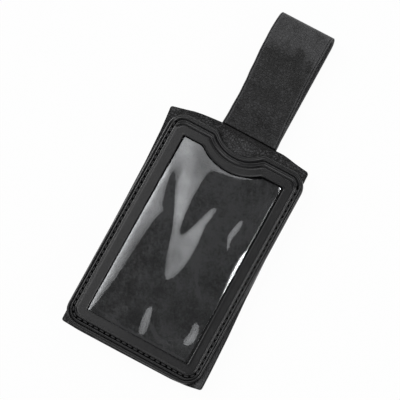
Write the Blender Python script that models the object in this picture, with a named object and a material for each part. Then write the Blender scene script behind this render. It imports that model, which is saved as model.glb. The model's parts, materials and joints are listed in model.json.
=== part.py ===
"""ID holder: a leather card pouch with a moulded window frame, on a strap that loops over a belt.

The holder lies on its back, on the tail of its strap. +Z points out of the window and +Y runs
up the strap. The origin is under the middle of the whole holder, at the level that it lies on.
"""

import math

import bmesh
import bpy
from mathutils import Matrix, Vector

MM = 0.001

# Window frame: outline seen from the front
FRAME_WIDTH = 69.7 * MM
FRAME_LENGTH = 107.9 * MM
FRAME_CORNER_RADIUS = 8.0 * MM
NOTCH_WIDTH = 23.0 * MM
NOTCH_DEPTH = 5.4 * MM
NOTCH_SHOULDER_RADIUS = 3.0 * MM
WINDOW_CORNER_RADIUS = 0.6 * MM

# Window frame: section of its border, from the outer edge inwards
EDGE_WIDTH = 1.5 * MM
CREST_WIDTH = 0.4 * MM
GROOVE_WALL_WIDTH = 0.75 * MM
BAND_STEP_WIDTH = 0.4 * MM
LEFT_BAND_WIDTH = 4.5 * MM
RIGHT_BAND_WIDTH = 3.4 * MM
TOP_BAND_WIDTH = 4.0 * MM
BOTTOM_BAND_WIDTH = 2.8 * MM
EDGE_HEIGHT = 1.7 * MM
RIDGE_HEIGHT = 2.6 * MM
GROOVE_FLOOR_HEIGHT = 1.3 * MM
BAND_HEIGHT = 2.1 * MM
BAND_THICKNESS = 0.7 * MM
RECESS_MARGIN = 0.4 * MM
RECESS_WALL_SLOPE = 0.3 * MM

# Card pocket and film
FILM_THICKNESS = 0.3 * MM
FILM_MARGIN = 0.4 * MM
MOUTH_WIDTH = 57.0 * MM
MOUTH_HEIGHT = 1.0 * MM

# Leather of the pouch: cut a little larger than the frame and turned slightly under it
LEATHER_SIDE_MARGIN = 0.1 * MM
LEATHER_END_MARGIN = 0.8 * MM
LEATHER_CORNER_RADIUS = 1.2 * MM
LEATHER_TURN = math.radians(1.6)
TOP_CROWN = 3.6 * MM
LINER_THICKNESS = 1.0 * MM
BACK_THICKNESS = 1.5 * MM
LEATHER_EDGE_BEVEL = 0.3 * MM

# Strap: one strip of leather, sewn behind the pouch, over the belt and back down
STRAP_WIDTH = 26.4 * MM
STRAP_THICKNESS = 2.0 * MM
STRAP_OFFSET = 1.2 * MM
STRAP_REACH = 57.0 * MM
STRAP_EDGE_BEVEL = 0.3 * MM
BELT_GAP = 6.0 * MM
RISE_LENGTH = 14.0 * MM
FLEX_CLEARANCE = 1.0 * MM
ANCHOR_LENGTH = 48.0 * MM
TAIL_OVERLAP = 52.0 * MM
TAIL_CORNER_RADIUS = 4.0 * MM

# Touch fastener between the tail and the sewn end
PATCH_SIDE_MARGIN = 2.2 * MM
PATCH_END_MARGIN = 3.0 * MM
PATCH_TOP_MARGIN = 5.0 * MM
PATCH_CORNER_RADIUS = 3.0 * MM
HOOK_THICKNESS = 1.0 * MM
LOOP_THICKNESS = 1.0 * MM
PATCH_STITCH_INSET = 1.8 * MM
PATCH_GROOVE_DEPTH = 0.7 * MM
PATCH_GROOVE_WIDTH = 1.0 * MM
PATCH_THREAD_RADIUS = 0.2 * MM
PATCH_THREAD_CLEARANCE = 0.2 * MM

# Lockstitch of the pouch: one thread in the frame's groove, the other in the back panel's
THREAD_RADIUS = 0.35 * MM
THREAD_CLEARANCE = 0.3 * MM
STITCH_PITCH = 2.9 * MM
STITCH_SWING = 0.15 * MM
BACK_GROOVE_DEPTH = 0.8 * MM

# Fits and fineness
FIT_GAP = 0.3 * MM
CUT_OVERRUN = 5.0 * MM
CORNER_STEPS = 6
SHOULDER_STEPS = 4
NOTCH_STEPS = 10
CROWN_STEPS = 14
RISE_STEPS = 10
FOLD_STEPS = 14
KNUCKLE_STEPS = 8
LEAST_BEVEL_ANGLE = math.radians(50)
SMOOTH_ANGLE = math.radians(40)

# Levels, from the face that the holder lies on to the frame
LOOP_Z = STRAP_THICKNESS + FIT_GAP
HOOK_Z = LOOP_Z + LOOP_THICKNESS + FIT_GAP
ANCHOR_Z = HOOK_Z + HOOK_THICKNESS + FIT_GAP
BACK_Z = ANCHOR_Z + STRAP_THICKNESS + FIT_GAP
LINER_Z = BACK_Z + BACK_THICKNESS + FIT_GAP
FRAME_Z = LINER_Z + LINER_THICKNESS + FIT_GAP
FILM_Z = FRAME_Z + BAND_HEIGHT - BAND_THICKNESS - FIT_GAP - FILM_THICKNESS

# Insets of the frame's section
OUTER_CREST_END = EDGE_WIDTH + CREST_WIDTH
GROOVE_START = OUTER_CREST_END + GROOVE_WALL_WIDTH
GROOVE_MIDDLE = GROOVE_START + THREAD_RADIUS + THREAD_CLEARANCE
GROOVE_END = GROOVE_MIDDLE + THREAD_RADIUS + THREAD_CLEARANCE
INNER_CREST_START = GROOVE_END + GROOVE_WALL_WIDTH
INNER_CREST_END = INNER_CREST_START + CREST_WIDTH
BAND_START = INNER_CREST_END + BAND_STEP_WIDTH
RECESS_INSET = BAND_START + RECESS_MARGIN

# The thumb notch is an arc about a point above the frame
NOTCH_RADIUS = ((NOTCH_WIDTH / 2) ** 2 + NOTCH_DEPTH**2) / (2 * NOTCH_DEPTH)
NOTCH_CENTRE_Y = FRAME_LENGTH / 2 - NOTCH_DEPTH + NOTCH_RADIUS

# Places along the pouch, from its middle
LEATHER_WIDTH = FRAME_WIDTH + 2 * LEATHER_SIDE_MARGIN
LEATHER_LENGTH = FRAME_LENGTH + 2 * LEATHER_END_MARGIN
STRAP_ROOT = LEATHER_LENGTH / 2 + TOP_CROWN
LEATHER_LOW_CORNER = (
    LEATHER_LENGTH / 2 * math.cos(LEATHER_TURN) + LEATHER_WIDTH / 2 * math.sin(LEATHER_TURN)
)
POUCH_Y = (LEATHER_LOW_CORNER - STRAP_ROOT - STRAP_REACH) / 2

# Strap bends
HALF_STRAP = STRAP_THICKNESS / 2
FOLD_RADIUS = BELT_GAP / 2 + HALF_STRAP
ROOT_Y = POUCH_Y + STRAP_ROOT
FLEX_AXIS = Vector((STRAP_OFFSET, ROOT_Y + HALF_STRAP + FLEX_CLEARANCE, ANCHOR_Z + HALF_STRAP))
FOLD_CENTRE = Vector((STRAP_OFFSET, ROOT_Y + STRAP_REACH - HALF_STRAP - FOLD_RADIUS,
                      HALF_STRAP + FOLD_RADIUS))
PEEL_AXIS = FOLD_CENTRE + Vector((0, FOLD_RADIUS, 0))
LEG_RISE = FOLD_CENTRE.z + FOLD_RADIUS - FLEX_AXIS.z
TAIL_END_Y = ROOT_Y - TAIL_OVERLAP


def clear_scene():
    for item in list(bpy.data.objects):
        bpy.data.objects.remove(item)


def finish(name, colour, roughness, alpha=1.0):
    """The piece's own material: a Principled shader of the colour seen."""
    material = bpy.data.materials.new(name + "_finish")
    material.use_nodes = True
    shader = material.node_tree.nodes["Principled BSDF"]
    shader.inputs["Base Color"].default_value = (*colour, 1)
    shader.inputs["Roughness"].default_value = roughness
    shader.inputs["Metallic"].default_value = 0
    shader.inputs["Alpha"].default_value = alpha
    return material


def place(item, material, location, parent=None):
    """Puts an object at a world location, carried by its parent empty if it moves."""
    if material:
        item.data.materials.append(material)
    bpy.context.scene.collection.objects.link(item)
    item.location = location
    if parent:
        item.parent = parent
        item.location = location - parent.matrix_world.translation
    return item


def mesh_object(name, bm):
    bmesh.ops.recalc_face_normals(bm, faces=bm.faces)
    mesh = bpy.data.meshes.new(name)
    bm.to_mesh(mesh)
    bm.free()
    mesh.shade_smooth()
    mesh.set_sharp_from_angle(angle=SMOOTH_ANGLE)
    return bpy.data.objects.new(name, mesh)


def soften_edges(item, width):
    bevel = item.modifiers.new("soft_edges", "BEVEL")
    bevel.width = width
    bevel.segments = 1
    bevel.limit_method = "ANGLE"
    bevel.angle_limit = LEAST_BEVEL_ANGLE


def arc(centre, radius, start, end, steps):
    """Points on an arc in degrees, both ends included."""
    angles = [math.radians(start + (end - start) * i / steps) for i in range(steps + 1)]
    return [(centre[0] + radius * math.cos(a), centre[1] + radius * math.sin(a)) for a in angles]


def rounded_rectangle(width, length, radius):
    x, y = width / 2 - radius, length / 2 - radius
    corners = [((x, y), 0), ((-x, y), 90), ((-x, -y), 180), ((x, -y), 270)]
    return [p for centre, a in corners for p in arc(centre, radius, a, a + 90, CORNER_STEPS)]


def at_height(outline, height):
    return [(x, y, height) for x, y in outline]


def loft(rings, closed=False):
    """A skin through rings of equally many points: capped at both ends, or closed on itself."""
    bm = bmesh.new()
    loops = [[bm.verts.new(point) for point in ring] for ring in rings]
    count = len(loops[0])
    pairs = list(zip(loops, loops[1:] + loops[:1] if closed else loops[1:]))
    for low, high in pairs:
        for i in range(count):
            j = (i + 1) % count
            bm.faces.new((low[i], low[j], high[j], high[i]))
    if not closed:
        bm.faces.new(loops[0])
        bm.faces.new(loops[-1])
    return bm


def notched_outline(left, right, bottom, top, corner, inset):
    """A rounded rectangle whose top edge dips round the thumb notch, a given inset from it."""
    radius = NOTCH_RADIUS + inset
    shoulder = NOTCH_SHOULDER_RADIUS
    rise = NOTCH_CENTRE_Y - top + shoulder
    side = math.sqrt((radius + shoulder) ** 2 - rise**2)
    lean = math.degrees(math.atan2(rise, side))
    notch = (0, NOTCH_CENTRE_Y)
    return (
        arc((right - corner, top - corner), corner, 0, 90, CORNER_STEPS)
        + arc((side, top - shoulder), shoulder, 90, 180 - lean, SHOULDER_STEPS)
        + arc(notch, radius, -lean, lean - 180, NOTCH_STEPS)[1:-1]
        + arc((-side, top - shoulder), shoulder, lean, 90, SHOULDER_STEPS)
        + arc((left + corner, top - corner), corner, 90, 180, CORNER_STEPS)
        + arc((left + corner, bottom + corner), corner, 180, 270, CORNER_STEPS)
        + arc((right - corner, bottom + corner), corner, 270, 360, CORNER_STEPS)
    )


def frame_outline(inset):
    """The frame's outline moved inwards all round."""
    x, y = FRAME_WIDTH / 2 - inset, FRAME_LENGTH / 2 - inset
    corner = max(FRAME_CORNER_RADIUS - inset, WINDOW_CORNER_RADIUS)
    return notched_outline(-x, x, -y, y, corner, inset)


def window_outline():
    x, y = FRAME_WIDTH / 2 - BAND_START, FRAME_LENGTH / 2 - BAND_START
    return notched_outline(
        LEFT_BAND_WIDTH - x, x - RIGHT_BAND_WIDTH, BOTTOM_BAND_WIDTH - y, y - TOP_BAND_WIDTH,
        WINDOW_CORNER_RADIUS, BAND_START + TOP_BAND_WIDTH,
    )


def seam_route(inset):
    """A line at an inset from the frame's edge: down the left, along the bottom, up the right."""
    x, y = FRAME_WIDTH / 2 - inset, FRAME_LENGTH / 2 - inset
    corner = FRAME_CORNER_RADIUS - inset
    start = FRAME_LENGTH / 2 - FRAME_CORNER_RADIUS
    return (
        [(-x, start)]
        + arc((corner - x, corner - y), corner, 180, 270, CORNER_STEPS)
        + arc((x - corner, corner - y), corner, 270, 360, CORNER_STEPS)
        + [(x, start)]
    )


def cut_away(item, name, outline, height):
    """Cuts an outline out of an object, from below its underside up to a height on it."""
    rings = [at_height(outline, z) for z in (-CUT_OVERRUN, height)]
    cutter = place(mesh_object(name + "_cutter", loft(rings)), None, item.location)
    cutter.hide_render = True
    cutter.display_type = "WIRE"
    cut = item.modifiers.new(name, "BOOLEAN")
    cut.operation = "DIFFERENCE"
    cut.object = cutter


def card_mouth_outline():
    """The slot under the frame's top edge, through which the card goes in."""
    half = MOUTH_WIDTH / 2
    low = FRAME_LENGTH / 2 - NOTCH_DEPTH - RECESS_INSET - FILM_MARGIN
    high = FRAME_LENGTH / 2 + CUT_OVERRUN
    return [(-half, low), (half, low), (half, high), (-half, high)]


def make_window_frame():
    """The moulded border: outer ridge, stitch groove, inner ridge and flat band."""
    section = [
        (0, 0),
        (0, EDGE_HEIGHT),
        (EDGE_WIDTH, RIDGE_HEIGHT),
        (OUTER_CREST_END, RIDGE_HEIGHT),
        (GROOVE_START, GROOVE_FLOOR_HEIGHT),
        (GROOVE_END, GROOVE_FLOOR_HEIGHT),
        (INNER_CREST_START, RIDGE_HEIGHT),
        (INNER_CREST_END, RIDGE_HEIGHT),
        (BAND_START, BAND_HEIGHT),
    ]
    underside = BAND_HEIGHT - BAND_THICKNESS
    rings = [at_height(frame_outline(inset), height) for inset, height in section]
    rings += [at_height(window_outline(), height) for height in (BAND_HEIGHT, underside)]
    rings += [
        at_height(frame_outline(RECESS_INSET), underside),
        at_height(frame_outline(RECESS_INSET - RECESS_WALL_SLOPE), 0),
    ]
    frame = mesh_object("window_frame", loft(rings, closed=True))
    place(frame, finish("black_vinyl", (0.030, 0.030, 0.032), 0.38), Vector((0, POUCH_Y, FRAME_Z)))
    cut_away(frame, "card_mouth", card_mouth_outline(), MOUTH_HEIGHT)


def make_window_film():
    outline = frame_outline(RECESS_INSET + FILM_MARGIN)
    film = mesh_object("window_film", loft([at_height(outline, z) for z in (0, FILM_THICKNESS)]))
    place(film, finish("clear_vinyl", (0.55, 0.56, 0.57), 0.15, alpha=0.3),
          Vector((0, POUCH_Y, FILM_Z)))


def leather_outline():
    """The pouch's leather: a crowned rectangle, turned slightly under the frame."""
    radius = LEATHER_CORNER_RADIUS
    x, y = LEATHER_WIDTH / 2 - radius, LEATHER_LENGTH / 2 - radius
    along = [1 - 2 * i / CROWN_STEPS for i in range(1, CROWN_STEPS)]
    crown = [(x * s, y + radius + TOP_CROWN * (1 - s * s)) for s in along]
    outline = (
        arc((x, y), radius, 0, 90, CORNER_STEPS)
        + crown
        + arc((-x, y), radius, 90, 180, CORNER_STEPS)
        + arc((-x, -y), radius, 180, 270, CORNER_STEPS)
        + arc((x, -y), radius, 270, 360, CORNER_STEPS)
    )
    turn = Matrix.Rotation(LEATHER_TURN, 2)
    return [tuple(turn @ Vector(point)) for point in outline]


def make_leather_panel(name, thickness, level, material):
    panel = mesh_object(name, loft([at_height(leather_outline(), z) for z in (0, thickness)]))
    place(panel, material, Vector((0, POUCH_Y, level)))
    soften_edges(panel, LEATHER_EDGE_BEVEL)
    return panel


def make_pouch_leather():
    """The liner behind the card, and the back panel with the seam's groove in its rear face."""
    make_leather_panel("pocket_liner", LINER_THICKNESS, LINER_Z,
                       finish("liner_leather", (0.024, 0.024, 0.025), 0.75))
    back = make_leather_panel("back_panel", BACK_THICKNESS, BACK_Z,
                              finish("back_leather", (0.028, 0.028, 0.029), 0.55))
    groove = seam_route(GROOVE_START) + seam_route(GROOVE_END)[::-1]
    cut_away(back, "seam_groove", groove, BACK_GROOVE_DEPTH)


def strap_piece(name, side_outline, axis, colour, parent=None):
    """A stretch of strap: its side view about an axis, given as (y, z), as wide as the strap."""
    half = STRAP_WIDTH / 2
    rings = [[(x, y, z) for y, z in side_outline] for x in (-half, half)]
    piece = mesh_object(name, loft(rings))
    place(piece, finish(name + "_leather", colour, 0.55), axis, parent)
    soften_edges(piece, STRAP_EDGE_BEVEL)


def make_strap_anchor():
    """The sewn end: flat behind the pouch, and stopping short of the bend."""
    top = -HALF_STRAP - FIT_GAP
    bottom = ROOT_Y - ANCHOR_LENGTH - FLEX_AXIS.y
    outline = [(bottom, -HALF_STRAP), (top, -HALF_STRAP), (top, HALF_STRAP), (bottom, HALF_STRAP)]
    strap_piece("strap_anchor", outline, FLEX_AXIS, (0.028, 0.028, 0.029))


def leg_middle():
    """The front leg's middle line as (y, z, slope angle): it rises to the level of the belt gap."""
    line = []
    for i in range(RISE_STEPS + 1):
        share = i / RISE_STEPS
        height = LEG_RISE * share * share * (3 - 2 * share)
        slope = LEG_RISE / RISE_LENGTH * 6 * share * (1 - share)
        line.append((RISE_LENGTH * share, height, math.atan(slope)))
    line.append((FOLD_CENTRE.y - FIT_GAP / 2 - FLEX_AXIS.y, LEG_RISE, 0))
    return line


def offset_line(line, distance):
    return [(y - distance * math.sin(a), z + distance * math.cos(a)) for y, z, a in line]


def make_strap_front(flex):
    """The front leg: a round end on the bend's axis, the rise, and the flat behind the belt."""
    line = leg_middle()
    knuckle = arc((0, 0), HALF_STRAP, 90, 270, KNUCKLE_STEPS)[1:-1]
    outline = offset_line(line, -HALF_STRAP) + offset_line(line, HALF_STRAP)[::-1] + knuckle
    strap_piece("strap_front", outline, FLEX_AXIS, (0.030, 0.030, 0.031), flex)


def make_strap_fold(flex):
    """The bend over the belt, a half ring that is drawn out when the tail is peeled back."""
    lost = math.degrees(FIT_GAP / 2 / FOLD_RADIUS)
    outer = arc((0, 0), FOLD_RADIUS + HALF_STRAP, lost - 90, 90 - lost, FOLD_STEPS)
    inner = arc((0, 0), FOLD_RADIUS - HALF_STRAP, 90 - lost, lost - 90, FOLD_STEPS)
    strap_piece("strap_fold", outer + inner, FOLD_CENTRE, (0.030, 0.030, 0.031), flex)


def make_strap_tail(peel):
    """The tail behind the belt and the pouch, with rounded corners at its free end."""
    top = FOLD_CENTRE.y - FIT_GAP / 2 - PEEL_AXIS.y
    bottom = TAIL_END_Y - PEEL_AXIS.y
    half, radius = STRAP_WIDTH / 2, TAIL_CORNER_RADIUS
    outline = (
        [(half, top), (-half, top)]
        + arc((radius - half, bottom + radius), radius, 180, 270, CORNER_STEPS)
        + arc((half - radius, bottom + radius), radius, 270, 360, CORNER_STEPS)
    )
    low = -PEEL_AXIS.z
    tail = mesh_object("strap_tail", loft([at_height(outline, z)
                                           for z in (low, low + STRAP_THICKNESS)]))
    place(tail, finish("strap_tail_leather", (0.028, 0.028, 0.029), 0.55), PEEL_AXIS, peel)
    soften_edges(tail, STRAP_EDGE_BEVEL)


def patch_outline(carrier_end, inset):
    """The outline of a patch that starts a margin above the end of its carrier, moved inwards."""
    width = STRAP_WIDTH - 2 * PATCH_SIDE_MARGIN
    length = ROOT_Y - PATCH_TOP_MARGIN - (carrier_end + PATCH_END_MARGIN)
    return rounded_rectangle(width - 2 * inset, length - 2 * inset, PATCH_CORNER_RADIUS - inset)


def patch_middle(carrier_end, level):
    y = (ROOT_Y - PATCH_TOP_MARGIN + carrier_end + PATCH_END_MARGIN) / 2
    return Vector((STRAP_OFFSET, y, level))


def make_patch(name, carrier_end, level, thickness, facing, material, parent=None):
    """A fastener patch with a sunk stitch line round the face that points up or down."""
    floor = thickness - PATCH_GROOVE_DEPTH
    half = PATCH_GROOVE_WIDTH / 2
    section = [
        (0, 0),
        (0, thickness),
        (PATCH_STITCH_INSET - half, thickness),
        (PATCH_STITCH_INSET - half, floor),
        (PATCH_STITCH_INSET + half, floor),
        (PATCH_STITCH_INSET + half, thickness),
    ]
    base = 0 if facing > 0 else thickness
    rings = [at_height(patch_outline(carrier_end, inset), base + facing * height)
             for inset, height in section]
    place(mesh_object(name, loft(rings)), material, patch_middle(carrier_end, level), parent)


def stitch_points(route, closed):
    """Points at equal distances along a route, two for each stitch."""
    ends = route + route[:1] if closed else route
    lengths = [math.dist(a, b) for a, b in zip(ends, ends[1:])]
    steps = 2 * round(sum(lengths) / STITCH_PITCH)
    step = sum(lengths) / steps
    found, passed, i = [], 0, 0
    for n in range(steps if closed else steps + 1):
        while i < len(lengths) - 1 and passed + lengths[i] < n * step:
            passed += lengths[i]
            i += 1
        share = min((n * step - passed) / lengths[i], 1)
        found.append(tuple(a + (b - a) * share for a, b in zip(ends[i], ends[i + 1])))
    return found


def thread_object(name, route, radius, closed, swing=0):
    """A thread along a route, rising and dipping once each stitch."""
    points = stitch_points(route, closed)
    curve = bpy.data.curves.new(name, "CURVE")
    curve.dimensions = "3D"
    curve.bevel_depth = radius
    curve.bevel_resolution = 1
    curve.use_fill_caps = True
    spline = curve.splines.new("POLY")
    spline.points.add(len(points) - 1)
    for i, (x, y) in enumerate(points):
        spline.points[i].co = (x, y, swing if i % 2 else -swing, 1)
    spline.use_cyclic_u = closed
    return bpy.data.objects.new(name, curve)


def make_seam():
    """The lockstitch through frame and leather: its front thread and its back thread."""
    seat = THREAD_CLEARANCE + THREAD_RADIUS
    levels = {
        "frame_thread": FRAME_Z + GROOVE_FLOOR_HEIGHT + seat,
        "back_thread": BACK_Z + BACK_GROOVE_DEPTH - seat,
    }
    for name, level in levels.items():
        thread = thread_object(name, seam_route(GROOVE_MIDDLE), THREAD_RADIUS, False, STITCH_SWING)
        place(thread, finish(name, (0.012, 0.012, 0.013), 0.7), Vector((0, POUCH_Y, level)))


def make_patch_thread(name, carrier_end, level, facing, thickness, parent=None):
    """The stitch line that holds a patch, sunk in the patch's groove."""
    route = patch_outline(carrier_end, PATCH_STITCH_INSET)
    thread = thread_object(name, route, PATCH_THREAD_RADIUS, True)
    depth = PATCH_GROOVE_DEPTH - PATCH_THREAD_CLEARANCE - PATCH_THREAD_RADIUS
    height = thickness - depth if facing > 0 else depth
    place(thread, finish(name, (0.012, 0.012, 0.013), 0.7),
          patch_middle(carrier_end, level + height), parent)


def make_fastener(peel):
    """The hook half on the sewn end, facing back, and the loop half on the tail, facing it."""
    anchor_end = ROOT_Y - ANCHOR_LENGTH
    make_patch("hook_patch", anchor_end, HOOK_Z, HOOK_THICKNESS, -1,
               finish("hook_tape", (0.016, 0.016, 0.017), 0.6))
    make_patch_thread("hook_thread", anchor_end, HOOK_Z, -1, HOOK_THICKNESS)
    make_patch("loop_patch", TAIL_END_Y, LOOP_Z, LOOP_THICKNESS, 1,
               finish("loop_tape", (0.014, 0.014, 0.015), 0.9), peel)
    make_patch_thread("loop_thread", TAIL_END_Y, LOOP_Z, 1, LOOP_THICKNESS, peel)


def axis_empty(name, location, parent=None):
    empty = bpy.data.objects.new(name, None)
    bpy.context.scene.collection.objects.link(empty)
    empty.location = location
    if parent:
        empty.parent = parent
        empty.location = location - parent.matrix_world.translation
    bpy.context.view_layer.update()
    return empty


def main():
    clear_scene()
    flex = axis_empty("strap_flex_axis", FLEX_AXIS)
    peel = axis_empty("tail_peel_axis", PEEL_AXIS, flex)
    make_window_frame()
    make_window_film()
    make_pouch_leather()
    make_seam()
    make_strap_anchor()
    make_strap_front(flex)
    make_strap_fold(flex)
    make_strap_tail(peel)
    make_fastener(peel)


main()
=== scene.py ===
import json
import math
import random
from contextlib import contextmanager

import bmesh
import bpy
from bpy.props import FloatProperty, FloatVectorProperty, PointerProperty
from mathutils import Matrix, Vector


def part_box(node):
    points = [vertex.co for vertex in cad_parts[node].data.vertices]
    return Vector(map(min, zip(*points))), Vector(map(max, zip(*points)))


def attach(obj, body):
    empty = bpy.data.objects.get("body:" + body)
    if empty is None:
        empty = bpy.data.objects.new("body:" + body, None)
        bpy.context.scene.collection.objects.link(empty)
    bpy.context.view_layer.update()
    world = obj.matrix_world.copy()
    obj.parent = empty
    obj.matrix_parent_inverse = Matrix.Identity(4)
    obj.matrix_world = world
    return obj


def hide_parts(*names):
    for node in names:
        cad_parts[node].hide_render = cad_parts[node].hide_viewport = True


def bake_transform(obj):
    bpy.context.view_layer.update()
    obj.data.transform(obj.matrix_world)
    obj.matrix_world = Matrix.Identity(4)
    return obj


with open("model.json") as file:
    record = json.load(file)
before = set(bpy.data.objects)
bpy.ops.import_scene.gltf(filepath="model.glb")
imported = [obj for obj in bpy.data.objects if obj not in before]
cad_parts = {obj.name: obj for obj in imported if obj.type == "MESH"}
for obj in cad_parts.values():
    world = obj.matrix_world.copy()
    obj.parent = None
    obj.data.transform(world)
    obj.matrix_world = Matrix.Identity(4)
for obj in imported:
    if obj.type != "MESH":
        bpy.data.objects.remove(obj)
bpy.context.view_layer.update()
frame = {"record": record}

bl_info = {
    "name": "ID holder",
    "version": (1, 0, 0),
    "blender": (4, 5, 0),
    "location": "3D View > Sidebar > ID Holder",
    "description": "Dresses a leather ID holder with a frame, a clear window and a belt strap",
    "category": "Object",
}

MM = 0.001

# The lowest and highest corners of the solids that the pieces are fitted to, in metres.
FRAME_LOW, FRAME_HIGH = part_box("window_frame")
FILM_LOW, FILM_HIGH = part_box("window_film")
LINER_LOW, LINER_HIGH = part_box("pocket_liner")
BACK_LOW, BACK_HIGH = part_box("back_panel")
ANCHOR_LOW, ANCHOR_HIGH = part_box("strap_anchor")
TAIL_LOW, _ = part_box("strap_tail")
HOOK_LOW, HOOK_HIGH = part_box("hook_patch")
LOOP_LOW, LOOP_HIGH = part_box("loop_patch")
FLEX_AXIS, PEEL_AXIS = [Vector(joint["pos_m"]) for joint in frame["record"]["behaviour"]["joints"]]

FRAME_LENGTH = FRAME_HIGH.y - FRAME_LOW.y
POUCH_Y = (FRAME_HIGH.y + FRAME_LOW.y) / 2
FRAME_Z = FRAME_LOW.z
# Half of the frame's width and length, in millimetres as all of its sizes below.
HALF_WIDTH = (FRAME_HIGH.x - FRAME_LOW.x) / MM / 2
HALF_LENGTH = FRAME_LENGTH / MM / 2


# Meshes.

def deselect():
    """Leaves nothing selected, so that the next operator acts on the new piece alone."""
    bpy.ops.object.select_all(action="DESELECT")


def pick(piece):
    deselect()
    piece.select_set(True)
    bpy.context.view_layer.objects.active = piece


@contextmanager
def editing(piece, action="DESELECT"):
    """Edit mode on one piece, with everything in it deselected or selected."""
    pick(piece)
    bpy.ops.object.mode_set(mode="EDIT")
    bpy.ops.mesh.select_all(action=action)
    yield bmesh.from_edit_mesh(piece.data)
    bpy.ops.object.mode_set(mode="OBJECT")


def named(name):
    piece = bpy.context.object
    piece.name = piece.data.name = name
    return piece


def laid_skin(name, columns, rows, place, closed=False):
    """A grid whose points are laid on a form by place(column, row), closed where its ends meet."""
    deselect()
    bpy.ops.mesh.primitive_grid_add(x_subdivisions=columns - 1, y_subdivisions=rows - 1, size=1)
    piece = named(name)
    if len(piece.data.vertices) != columns * rows:
        raise RuntimeError(f"{name}: the grid has {len(piece.data.vertices)} points")
    for point in piece.data.vertices:
        point.co = place(point.index % columns, point.index // columns)
    if closed:
        with editing(piece, "SELECT"):
            bpy.ops.mesh.remove_doubles(threshold=0.001 * MM)
    return piece


def face_outwards(piece):
    with editing(piece, "SELECT"):
        bpy.ops.mesh.normals_make_consistent(inside=False)


def close_ends(piece):
    """Fills a tube's two open ends."""
    with editing(piece) as mesh:
        for edge in mesh.edges:
            edge.select = edge.is_boundary
        bmesh.update_edit_mesh(piece.data)
        bpy.ops.mesh.edge_face_add()
    face_outwards(piece)


def modify(piece, kind, **settings):
    """Adds a modifier and applies it."""
    pick(piece)
    modifier = piece.modifiers.new(kind.title(), kind)
    for key, value in settings.items():
        setattr(modifier, key, value)
    bpy.ops.object.modifier_apply(modifier=modifier.name)


def dress(piece, material, smooth=35):
    """Shades a finished piece and gives it its material."""
    pick(piece)
    bpy.ops.object.shade_smooth_by_angle(angle=math.radians(smooth))
    piece.data.materials.clear()
    piece.data.materials.append(material)
    return piece


def copy_of(first):
    """A copy of a repeated shape, with its own mesh."""
    copy = first.copy()
    copy.data = first.data.copy()
    bpy.context.scene.collection.objects.link(copy)
    return copy


def join(pieces, name):
    pick(pieces[0])
    for piece in pieces:
        piece.select_set(True)
    bpy.ops.object.join()
    return named(name)


# Curves and outlines.

def ease(start, end, value):
    """Rises softly from 0 at the start to 1 at the end."""
    share = min(max((value - start) / (end - start), 0.0), 1.0)
    return share * share * (3 - 2 * share)


def stretch(stops, where):
    """The stretch between two (place, value) stops that a place lies in, or the nearest one."""
    for (x0, y0), (x1, y1) in zip(stops, stops[1:]):
        if where <= x1:
            break
    return x0, y0, x1, y1


def through(stops, where):
    """The smooth curve through (place, value) stops, level past both ends, read at one place."""
    x0, y0, x1, y1 = stretch(stops, where)
    return y0 + (y1 - y0) * ease(x0, x1, where)


def along(stops, where, ease_length=1.2):
    """Straight runs through (place, value) stops, eased where they meet, read at one place."""
    total = 0.0
    for place in (where - ease_length, where, where + ease_length):
        x0, y0, x1, y1 = stretch(stops, place)
        total += y0 + (y1 - y0) * (place - x0) / (x1 - x0)
    return total / 3


def blended(a, b, share):
    """The point between two others."""
    return tuple(x + (y - x) * share for x, y in zip(a, b))


def rounded_run(points, steps):
    """A Catmull-Rom curve through points of any size, with so many steps in each stretch."""
    run = []
    for i in range(len(points) - 1):
        before, start = points[max(i - 1, 0)], points[i]
        end, after = points[i + 1], points[min(i + 2, len(points) - 1)]
        for step in range(steps):
            t = step / steps
            run.append(tuple(
                0.5 * (2 * b + (c - a) * t + (2 * a - 5 * b + 4 * c - d) * t * t
                       + (3 * b - a - 3 * c + d) * t**3)
                for a, b, c, d in zip(before, start, end, after)))
    run.append(tuple(points[-1]))
    return run


def arc(centre, radius, start, end, steps):
    """Points on an arc in degrees, both ends included."""
    angles = [math.radians(start + (end - start) * i / steps) for i in range(steps + 1)]
    return [(centre[0] + radius * math.cos(a), centre[1] + radius * math.sin(a)) for a in angles]


def corner_arcs(left, right, bottom, top, radius, steps):
    """A rectangle's four rounded corners, from the top right one round by the left."""
    centres = ((right - radius, top - radius), (left + radius, top - radius),
               (left + radius, bottom + radius), (right - radius, bottom + radius))
    return [arc(centre, radius, 90 * i, 90 * i + 90, steps) for i, centre in enumerate(centres)]


def edge_distance(point, outline):
    """How far a point lies inside a closed outline: negative outside it."""
    x, y = point
    least, inside = 1e9, False
    x0, y0 = outline[-1]
    for x1, y1 in outline:
        dx, dy = x1 - x0, y1 - y0
        share = ((x - x0) * dx + (y - y0) * dy) / (dx * dx + dy * dy)
        share = 0.0 if share < 0 else 1.0 if share > 1 else share
        gap = (x - x0 - share * dx) ** 2 + (y - y0 - share * dy) ** 2
        if gap < least:
            least = gap
        if (y0 > y) != (y1 > y) and x < (x1 - x0) * (y - y0) / (y1 - y0) + x0:
            inside = not inside
        x0, y0 = x1, y1
    return math.sqrt(least) if inside else -math.sqrt(least)


# Materials.

REST_PLACE = "rest_place"  # the attribute with where a bending piece's points lie at rest
DYE_AND_SHADE_BLACK, DARK_METAL = 0.05, 0.9  # what keeps a dyed edge black, and painted shade in a slot, a gap or a deep groove


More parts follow.
